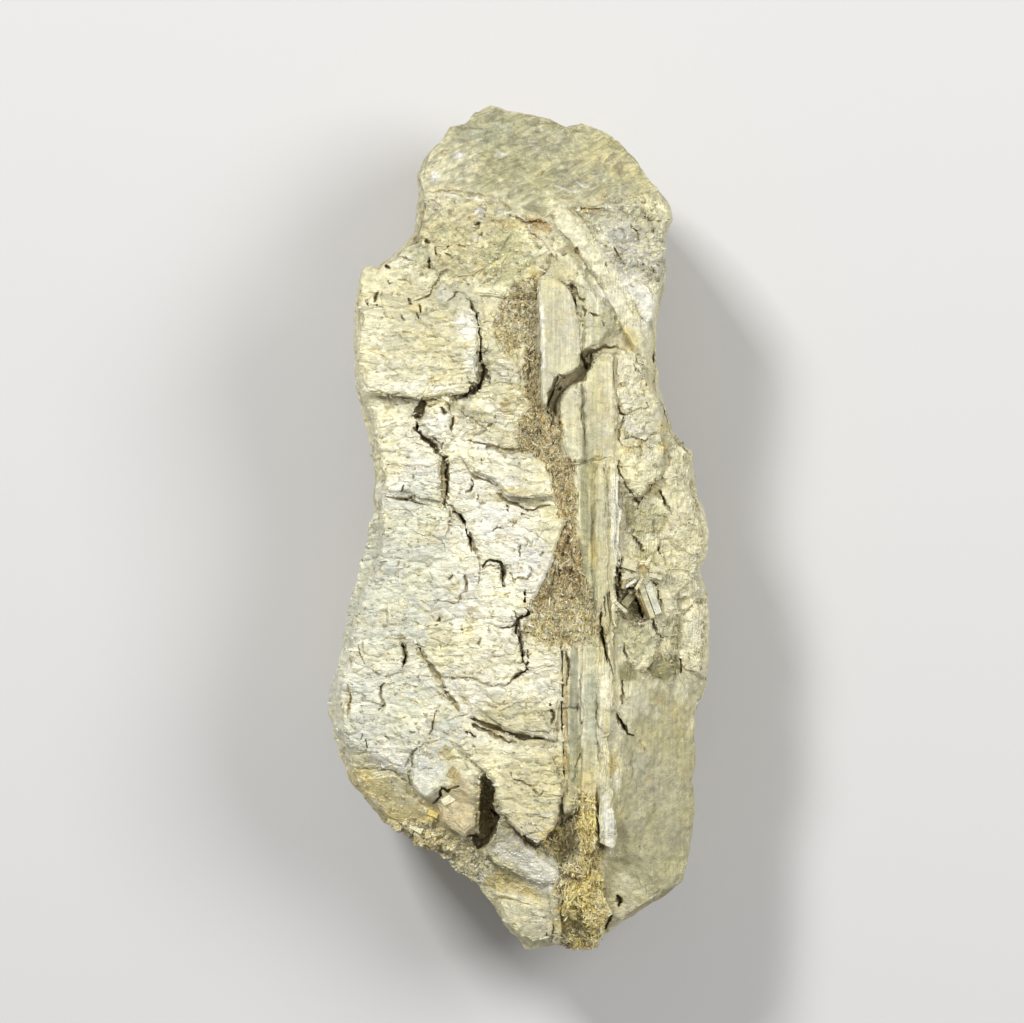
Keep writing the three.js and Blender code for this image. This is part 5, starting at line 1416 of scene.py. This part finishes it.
def makeMesh(name, points, faces):
    mesh = bpy.data.meshes.new(name)
    mesh.vertices.add(len(points))
    mesh.vertices.foreach_set("co", (points * mm + zeroPoint).ravel())
    mesh.loops.add(faces.size)
    mesh.loops.foreach_set("vertex_index", faces.ravel())
    mesh.polygons.add(len(faces))
    mesh.polygons.foreach_set("loop_start", np.arange(0, faces.size, 3))
    mesh.polygons.foreach_set("loop_total", np.full(len(faces), 3))
    mesh.update(calc_edges=True)
    thing = bpy.data.objects.new(name, mesh)
    bpy.context.scene.collection.objects.link(thing)
    return thing


def addPointColour(thing, name, values):
    layer = thing.data.attributes.new(name, "FLOAT_COLOR", "POINT")
    layer.data.foreach_set("color", np.column_stack([values, np.ones(len(values))]).ravel())


def thinned(thing, most):
    # drops the triangles that add least to the shape
    shrink = thing.modifiers.new("thin", "DECIMATE")
    shrink.ratio = min(1, most / len(thing.data.polygons))
    shrink.vertex_group = "inner"
    whole = thing.evaluated_get(bpy.context.evaluated_depsgraph_get())
    mesh = bpy.data.meshes.new_from_object(whole)
    thing.modifiers.clear()
    thing.data = mesh


# the skin is made in three pieces that share their borders, so that each stays light enough
layeredOutline = [
    (-20, 28.4), (-7, 28.5), (-4.8, 28.4), (-1.7, 27.9), (-0.6, 26.7), (1.2, 26), (2.4, 25.4),
    (1.7, 21), (1.6, 16), (1.9, 10.4), (3.3, 5), (4.2, 1), (3, -3), (1.4, -6.6), (2.6, -9.6),
    (3.9, -10.6), (4, -24.5), (1.8, -26.8), (-1.2, -25), (-3.4, -28), (-20, -34)]
middles = points[faces].mean(axis=1)
isLow = middles[:, 2] < skin["undersideEnds"]
isLayered = insideGap(middles[:, :2], layeredOutline) > 0
skinPieces = {"layeredSide": isLayered & ~isLow, "bandedSide": ~isLayered & ~isLow,
              "underside": isLow}
swirl = np.repeat((strongest(reliefGrounds["wisps"]) * onFront)[:, None], 3, axis=1)


def makeSkin(name, chosen):
    used, own = np.unique(faces[chosen], return_inverse=True)
    piece = makeMesh(name, points[used], own.reshape(-1, 3))
    addPointColour(piece, "paint", colour[used])
    addPointColour(piece, "weave", weave[used])
    addPointColour(piece, "swirl", swirl[used])
    shared = np.bincount(faces[~chosen].ravel(), minlength=len(points))[used] > 0
    inner = piece.vertex_groups.new(name="inner")
    inner.add(np.flatnonzero(~shared).tolist(), 1.0, "REPLACE")
    thinned(piece, skin["mostTriangles"])
    piece.data.set_sharp_from_angle(angle=math.radians(skin["sharpAngle"]))
    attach(piece, "root")
    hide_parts("pyrite_specimen")
    return piece


stone = [makeSkin(name, chosen) for name, chosen in skinPieces.items()]
print("stage: skin made,", [len(piece.data.polygons) for piece in stone], "triangles")

# small things that grew on the stone or broke off it, as joined meshes

rng = np.random.default_rng(7)
triangleSize = np.linalg.norm(faceCross(points, faces), axis=1) / 6
pointArea = sum(np.bincount(faces[:, i], triangleSize, len(points)) for i in range(3))
softNormals = normals
for _ in range(6):
    softNormals = around.mean(softNormals)
softNormals = softNormals / np.linalg.norm(softNormals, axis=1, keepdims=True)


def prisms(middles, sizes, turns, normals, sides, jitter, taper):
    # flat-faced blocks of the given length, width and thickness, one at each middle
    count = len(middles)
    angle = (np.arange(sides) + 0.5) * 2 * math.pi / sides
    ring = np.column_stack([np.cos(angle), np.sin(angle)]) / math.cos(math.pi / sides)
    shape = np.vstack([np.column_stack([ring, np.full(sides, -1.0)]),
                       np.column_stack([ring * taper, np.full(sides, 1.0)])])
    shape = shape + rng.uniform(-jitter, jitter, (count, 2 * sides, 3))
    shape = shape * sizes[:, None, :] / 2
    along = np.column_stack([np.cos(turns), np.sin(turns), np.zeros(count)])
    along -= normals * (along * normals).sum(axis=1, keepdims=True)
    along /= np.linalg.norm(along, axis=1, keepdims=True)
    beside = np.cross(normals, along)
    axes = np.stack([along, beside, normals], axis=1)
    blockPoints = middles[:, None, :] + shape @ axes
    one = []
    for i in range(sides):
        j = (i + 1) % sides
        one += [(i, j, sides + j), (i, sides + j, sides + i)]
    for i in range(1, sides - 1):
        one += [(sides, sides + i, sides + i + 1), (0, i + 1, i)]
    blockFaces = np.array(one)[None] + (np.arange(count) * 2 * sides)[:, None, None]
    return blockPoints.reshape(-1, 3), blockFaces.reshape(-1, 3)


def joinBlocks(name, blocks, tint, grain):
    # blocks from prisms as one mesh, with a colour and a grain for each block
    madePoints, madeFaces = blocks
    each = len(madePoints) // len(tint)
    thing = makeMesh(name, madePoints, madeFaces)
    addPointColour(thing, "paint", np.repeat(tint, each, axis=0))
    addPointColour(thing, "weave", np.repeat(grain, each, axis=0))
    thing.data.shade_flat()
    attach(thing, "root")
    return thing


def scatter(name, recipe):
    # spots are drawn from the skin by area, in the grounds that the recipe names
    clear = 1 - np.clip(sum(crackShadeShare.values()), 0, 1) * recipe.get("clear", 0)
    weight = (strongest(recipe["grounds"]) * pointArea * onFront
              * (normals[:, 2] > recipe.get("flattest", 0.3)) * clear)
    count = recipe["count"]
    spots = rng.choice(len(points), count, p=weight / weight.sum())
    low, high = (np.array(size) for size in recipe["sizes"])
    sizes = low + (high - low) * rng.random((count, 3)) ** 1.5
    turns = np.radians(recipe["turn"] + recipe["spread"] * rng.normal(size=count))
    lean = softNormals[spots] + recipe["lean"] * rng.normal(size=(count, 3))
    lean /= np.linalg.norm(lean, axis=1, keepdims=True)
    middles = points[spots] + lean * (sizes[:, 2:] * recipe["sunk"])
    blocks = prisms(middles, sizes, turns, lean, recipe["sides"], recipe["jitter"],
                    recipe["taper"])
    tones = np.array([finishes[tone] for tone in recipe["tones"]])
    own = tones[rng.choice(len(tones), count, p=recipe["mix"])]
    tint = colour[spots] * (1 - recipe["ownColour"]) + own * recipe["ownColour"]
    tint = tint * rng.uniform(*recipe["shade"], (count, 1))
    return joinBlocks(name, blocks, np.clip(tint, *paintLimits), weave[spots])


# small blocks strewn over the grounds: how thickly in each ground, how many, least and greatest
# length, width and thickness in mm, turn and its spread in degrees, and their shape and colours
scattered = {
    "faceFlakes": {
        "grounds": {"leftFace": 1.0, "rightPlates": 0.2, "upperRough": 0.4, "foot": 0.6,
                    "upperRightRough": 0.4},
        "count": 1300, "sizes": ((0.25, 0.10, 0.08), (1.3, 0.42, 0.16)), "turn": -4, "spread": 13,
        "lean": 0.03, "sunk": -0.32, "sides": 6, "jitter": 0.28, "taper": 0.9, "flattest": 0.75,
        "clear": 1.0, "tones": ("chalk", "tan", "gold"), "mix": (0.7, 0.15, 0.15), "ownColour": 0.2,
        "shade": (0.92, 1.08)},
    "druseCrystals": {
        "grounds": {"triangle": 1.0, "grooveCrystals": 0.9, "groove": 0.25, "belowTriangle": 0.4,
                    "amberCrumbs": 0.25},
        "count": 5600, "sizes": ((0.25, 0.06, 0.06), (0.9, 0.15, 0.15)), "turn": 90, "spread": 34,
        "lean": 0.35, "sunk": 0.25, "sides": 4, "jitter": 0.22, "taper": 0.75,
        "tones": ("cream", "umber", "rust", "gold"), "mix": (0.38, 0.20, 0.24, 0.18),
        "ownColour": 0.65, "shade": (0.8, 1.3)},
    "footNeedles": {
        "grounds": {"footCrystals": 1.0},
        "count": 3000, "sizes": ((0.30, 0.07, 0.07), (1.2, 0.18, 0.16)), "turn": 95, "spread": 38,
        "lean": 0.35, "sunk": 0.25, "sides": 4, "jitter": 0.22, "taper": 0.75,
        "tones": ("sun", "gold", "paleCream", "bark"), "mix": (0.24, 0.34, 0.20, 0.22),
        "ownColour": 0.5, "shade": (0.85, 1.3)},
    "crumbs": {
        "grounds": {"upperRough": 0.12, "upperRightRough": 0.2, "amberCrumbs": 1.0, "lowerLeft": 0.9,
                    "slope": 0.15, "belowTriangle": 0.5, "cavity": 1.0, "holes": 0.5,
                    "leftFace": 0.05, "rightPlates": 0.05},
        "count": 3600, "sizes": ((0.12, 0.10, 0.10), (0.42, 0.34, 0.26)), "turn": 0, "spread": 90,
        "lean": 0.3, "sunk": 0.05, "sides": 4, "jitter": 0.4, "taper": 0.8,
        "tones": ("chalk", "gold", "tan", "bark"), "mix": (0.4, 0.25, 0.2, 0.15),
        "ownColour": 0.5, "shade": (0.82, 1.12)},
}
grownPieces = [scatter(name, recipe) for name, recipe in scattered.items()]

# plates and laths that stand out singly: middle, size, turn, rise over the skin, lean, finish
singles = [
    ((9.4, -3.1), (1.5, 0.85, 0.5), -15, 0.18, (-0.10, 0.08), "buff"),
    ((11.7, -3.5), (1.5, 0.45, 0.45), 4, 0.22, (0.08, -0.10), "cream"),
    ((11.6, -4.1), (1.2, 0.35, 0.35), -14, 0.16, (0.08, -0.1), "paleCream"),
    ((11.0, -2.8), (1.1, 0.30, 0.35), 58, 0.18, (0, 0.1), "cream"),
    ((10.3, -3.3), (0.9, 0.16, 0.3), 24, 0.26, (0, 0), "rust"),
    ((9.4, -4.1), (1.5, 0.30, 0.35), 16, 0.20, (0, -0.1), "cream"),
    ((9.5, -4.7), (1.3, 0.24, 0.30), 34, 0.22, (0, -0.1), "chalk"),
    ((10.2, -4.7), (1.2, 0.26, 0.35), 62, 0.22, (0.1, 0), "cream"),
    ((10.8, -6.2), (3.1, 0.5, 0.6), -69, 0.24, (0.2, 0.03), "buff"),
    ((11.4, -6.0), (3.0, 0.6, 0.6), -70, 0.20, (0.1, 0.03), "sage"),
    ((10.6, -6.5), (2.4, 0.25, 0.5), -66, 0.10, (0.3, 0.1), "umber"),
    ((9.5, -5.9), (1.9, 0.7, 0.5), 52, 0.55, (0.1, 0.15), "oliveTan"),
    ((8.9, -4.6), (1.2, 0.24, 0.3), 78, 0.30, (0.2, 0), "tan"),
    ((8.7, -6.7), (1.3, 0.30, 0.4), -42, 0.15, (0, 0), "cream"),
    ((0.9, -8.2), (1.6, 0.14, 0.14), -20, 0.06, (0, 0), "chalk"),
    ((2.5, 23.9), (2.6, 0.34, 0.26), -56, 0.04, (0, 0.05), "buff"),
    ((2.0, 25.3), (0.8, 0.22, 0.22), -30, 0.02, (0, 0), "umber"),
    ((1.4, 25.6), (0.5, 0.18, 0.2), 20, 0.02, (0, 0), "rust"),
    ((4.3, -2.2), (0.9, 0.14, 0.14), -20, 0.14, (0, 0), "cream"),
    ((3.9, -3.0), (1.1, 0.15, 0.14), 35, 0.14, (0, 0), "cream"),
    ((4.5, -4.4), (1.2, 0.14, 0.14), -35, 0.14, (0, 0), "cream"),
    ((3.3, -4.9), (1.0, 0.15, 0.14), 15, 0.14, (0, 0), "buff"),
    ((4.6, -0.9), (0.7, 0.12, 0.12), 60, 0.12, (0, 0), "cream"),
    ((-7.2, -24.2), (1.0, 0.5, 0.4), -20, 0.05, (0.1, 0), "sun"),
    ((-8.6, -25.4), (1.3, 0.7, 0.4), -28, 0.05, (0, 0.1), "cream"),
    ((-5.9, -23.0), (1.2, 0.7, 0.4), 30, 0.08, (0, 0.12), "paleCream"),
    ((-4.7, -24.9), (1.2, 0.8, 0.4), -50, 0.04, (0.1, 0), "rosy"),
    ((-5.6, -20.6), (1.0, 0.5, 0.4), 55, 0.06, (0, 0), "umber"),
]


singleShape = {
    "sides": 4, "jitter": 0.09, "taper": 0.9,
    "footing": 0.45,        # the skin this near carries the block, mm
    "grain": (0, 0.2, 0.6),
}


def makeSingles():
    places, sizes, turns, rises, leans, tones = zip(*singles)
    middles = []
    for (x, y), rise, size in zip(places, rises, sizes):
        near = np.hypot(points[:, 0] - x, points[:, 1] - y) < singleShape["footing"]
        middles.append((x, y, np.percentile(points[near, 2], 70) + rise - 0.3 * size[2]))
    leans = np.column_stack([leans, np.ones(len(leans))])
    leans /= np.linalg.norm(leans, axis=1, keepdims=True)
    blocks = prisms(np.array(middles), np.array(sizes), np.radians(turns), leans,
                    singleShape["sides"], singleShape["jitter"], singleShape["taper"])
    tint = np.array([finishes[tone] for tone in tones])
    return joinBlocks("singleLaths", blocks, tint, np.tile(singleShape["grain"], (len(tint), 1)))


grownPieces.append(makeSingles())
print("stage: flakes, crystals and crumbs grown")

pyriteFinish = {
    "metallic": 0.35,
    "roughness": (0.42, 0.72),
    "bumps": {"grain": (0.65, 0.30), "grit": (0.6, 0.14)},       # strength and depth, mm
    # noise: closeness along each axis, size in mm, detail, roughness and distortion
    "uprightGrain": ((1, 0.07, 0.5), 0.22, 3, 0.65, 0),
    "levelGrain": ((0.42, 1, 0.5), 0.30, 3, 0.65, 0.5),
    "evenGrain": ((1, 1, 1), 0.45, 5, 0.68, 0),
    "grit": ((1, 1, 1), 0.13, 2, 0.7, 0),
    "crackBreaks": ((1, 1, 1), 0.8, 3, 0.6, 0),
    # cells: closeness along each axis for each way of the grain
    "flecks": ((3.2, 0.35, 1), (1.3, 3.4, 1), (2.6, 2.6, 2.6)),
    "cracks": (0.55, 1.7, 0.6),
    "wisps": {"turn": -24, "scale": (0.24, 0.9, 0.5)},
    "strawTint": (0.86, 0.74, 0.48, 1),
    "paleGrit": (0.94, 0.92, 0.80, 1),
    "darkGrit": (0.46, 0.42, 0.26, 1),
    # colour of the painted shade in the fine crack lines
    "crackShade": (0.40, 0.34, 0.18, 1),
}


def makePyrite():
    material = bpy.data.materials.new("fibrousPyrite")
    material.use_nodes = True
    tree = material.node_tree

    def feed(node, inputs):
        # each input is joined to an output or set to a value
        for key, value in inputs.items():
            if isinstance(value, bpy.types.NodeSocket):
                tree.links.new(value, node.inputs[key])
            else:
                node.inputs[key].default_value = value

    def add(kind, inputs, output=0, **settings):
        node = tree.nodes.new("ShaderNode" + kind)
        for key, value in settings.items():
            setattr(node, key, value)
        feed(node, inputs)
        return node.outputs[output]

    def layer(name):
        return add("Attribute", {}, "Color", attribute_name=name)

    def channel(source, index):
        return add("SeparateColor", {0: source}, index)

    def stretched(scale, source=None):
        # object coordinates in mm, drawn out along some of the axes
        return add("Mapping", {"Scale": [s / mm for s in scale], "Vector": source or place})

    def rawNoise(size, detail, rough, distortion, vector, output=0):
        return add("TexNoise", {"Scale": 1 / size, "Detail": detail, "Roughness": rough,
                                "Distortion": distortion, "Vector": vector}, output)

    def noise(name):
        scale, size, detail, rough, distortion = pyriteFinish[name]
        return rawNoise(size, detail, rough, distortion, stretched(scale))

    def calc(operation, a, b):
        return add("Math", {0: a, 1: b}, operation=operation)

    def ramp(value, low, high, outLow, outHigh):
        return add("MapRange", {0: value, 1: low, 2: high, 3: outLow, 4: outHigh}, clamp=True)

    def mixColour(kind, factor, a, b):
        return add("Mix", {0: factor, 6: a, 7: b}, 2, data_type="RGBA", blend_type=kind)

    place = add("TexCoord", {}, "Object")
    grainWays = layer("weave")
    upright, level, crystal = (channel(grainWays, index) for index in range(3))

    def across(upValue, levelValue, evenValue):
        # the three values mixed by how strongly the grain runs each way
        total = calc("ADD", calc("MULTIPLY", upValue, upright),
                     calc("ADD", calc("MULTIPLY", levelValue, level), evenValue))
        return calc("DIVIDE", total, calc("ADD", calc("ADD", upright, level), 1.0))

    def cells(scale, output, size, amount, feature="F1"):
        # cells whose borders wander a little
        wander = rawNoise(size, 2, 0.5, 0, stretched((1, 1, 1)), "Color")
        shift = add("VectorMath", {0: wander, "Scale": amount}, operation="SCALE")
        bend = add("VectorMath", {0: stretched(scale), 1: shift}, operation="ADD")
        return add("TexVoronoi", {"Scale": 1.0, "Vector": bend}, output, feature=feature)

    evenGrain, grit = noise("evenGrain"), noise("grit")
    grain = across(noise("uprightGrain"), noise("levelGrain"), evenGrain)
    flecks = across(*(channel(cells(scale, "Color", 0.6, 0.5), 0)
                      for scale in pyriteFinish["flecks"]))
    edges = cells(pyriteFinish["cracks"], "Distance", 0.5, 0.7, "DISTANCE_TO_EDGE")
    crackLine = calc("MULTIPLY", ramp(edges, 0.0, 0.035, 1.0, 0.0),
                     ramp(noise("crackBreaks"), 0.52, 0.60, 0.0, 1.0))
    crackLine = calc("MULTIPLY", crackLine, level)
    turned = add("Mapping", {"Rotation": (0, 0, math.radians(pyriteFinish["wisps"]["turn"])),
                             "Vector": place})
    wisps = rawNoise(1 / 1.1, 5, 0.7, 2.2, stretched(pyriteFinish["wisps"]["scale"], turned))

    tone = mixColour("MULTIPLY", 1.0, layer("paint"), ramp(grain, 0.32, 0.70, 0.74, 1.18))
    tone = mixColour("MULTIPLY", layer("swirl"), tone, ramp(wisps, 0.38, 0.62, 0.68, 1.25))
    tone = mixColour("MULTIPLY", 1.0, tone, ramp(flecks, 0.2, 0.8, 0.88, 1.10))
    tone = mixColour("MULTIPLY", ramp(evenGrain, 0.52, 0.68, 0.0, 0.5), tone,
                     pyriteFinish["strawTint"])
    tone = mixColour("MIX", ramp(grit, 0.62, 0.74, 0.0, 0.4), tone, pyriteFinish["paleGrit"])
    tone = mixColour("MULTIPLY", ramp(grit, 0.26, 0.36, 0.8, 0.0), tone,
                     pyriteFinish["darkGrit"])
    # painted shade in the fine crack lines across the level grain
    tone = mixColour("MULTIPLY", calc("MULTIPLY", crackLine, 0.5), tone,
                     pyriteFinish["crackShade"])

    def bump(name, height, under=None):
        strength, depth = pyriteFinish["bumps"][name]
        inputs = {"Strength": strength, "Distance": depth * mm, "Height": height}
        if under is not None:
            inputs["Normal"] = under
        return add("Bump", inputs)

    surface = bump("grain", grain)
    surface = bump("grit", calc("MULTIPLY", grit, ramp(crystal, 0, 1, 0.6, 1.6)), surface)
    low, high = pyriteFinish["roughness"]
    feed(tree.nodes["Principled BSDF"], {
        "Base Color": tone, "Roughness": ramp(grain, 0.35, 0.65, high, low),
        "Metallic": pyriteFinish["metallic"], "Normal": surface})
    return material


pyriteMaterial = makePyrite()
for piece in stone + grownPieces:
    piece.data.materials.append(pyriteMaterial)
print("stage: finish made")

studio = {
    "floorColour": (0.62, 0.61, 0.60, 1), "floorRoughness": 0.9, "floorReach": 1.5,
    "worldColour": (0.92, 0.93, 0.95, 1), "worldStrength": 0.34,
    "keyAt": (-0.20, 0.27, 0.40), "keySize": 0.10, "keyPower": 2.0,
    "fillAt": (0.27, 0.10, 0.38), "fillSize": 0.22, "fillPower": 1.2,
}


def makeStudio():
    floorMesh = bpy.data.meshes.new("floor")
    reach = studio["floorReach"]
    floorMesh.from_pydata([(-reach, -reach, 0), (reach, -reach, 0), (reach, reach, 0),
                           (-reach, reach, 0)], [], [(0, 1, 2, 3)])
    floor = bpy.data.objects.new("floor", floorMesh)
    bpy.context.scene.collection.objects.link(floor)
    paper = bpy.data.materials.new("palePaper")
    paper.use_nodes = True
    shader = paper.node_tree.nodes["Principled BSDF"]
    shader.inputs["Base Color"].default_value = studio["floorColour"]
    shader.inputs["Roughness"].default_value = studio["floorRoughness"]
    floorMesh.materials.append(paper)
    world = bpy.data.worlds.new("softRoom")
    world.use_nodes = True
    sky = world.node_tree.nodes["Background"]
    sky.inputs["Color"].default_value = studio["worldColour"]
    sky.inputs["Strength"].default_value = studio["worldStrength"]
    bpy.context.scene.world = world
    for name in ("key", "fill"):
        light = bpy.data.lights.new(name, "AREA")
        light.energy = studio[name + "Power"]
        light.size = studio[name + "Size"]
        lamp = bpy.data.objects.new(name, light)
        lamp.location = studio[name + "At"]
        aim = Vector((stoneMiddle.x, stoneMiddle.y, stoneHigh.z)) - lamp.location
        lamp.rotation_euler = aim.to_track_quat("-Z", "Y").to_euler()
        bpy.context.scene.collection.objects.link(lamp)


lens = {
    "height": 0.60,              # camera above the front of the stone, m
    "viewWidth": 0.08704,        # width seen at that plane, m
    "aim": (-0.51, 1.36),        # middle of the view from the middle of the stone, mm
    "planeHeight": 17.0,         # height of the plane that the width is measured on, mm
    "sensor": 36,                # mm
    "clip": (0.01, 10),
}


def makeCamera():
    data = bpy.data.cameras.new("camera")
    camera = bpy.data.objects.new("camera", data)
    aimX, aimY = lens["aim"]
    camera.location = (stoneMiddle.x + aimX * mm, stoneMiddle.y + aimY * mm,
                       lens["planeHeight"] * mm + lens["height"])
    data.sensor_width = lens["sensor"]
    data.lens = lens["sensor"] * lens["height"] / lens["viewWidth"]
    data.clip_start, data.clip_end = lens["clip"]
    bpy.context.scene.collection.objects.link(camera)
    bpy.context.scene.camera = camera


makeStudio()
makeCamera()
bpy.context.scene.view_settings.view_transform = "Standard"
bpy.context.view_layer.update()
print("stage: dressed,", [(piece.name, len(piece.data.polygons)) for piece in stone + grownPieces])
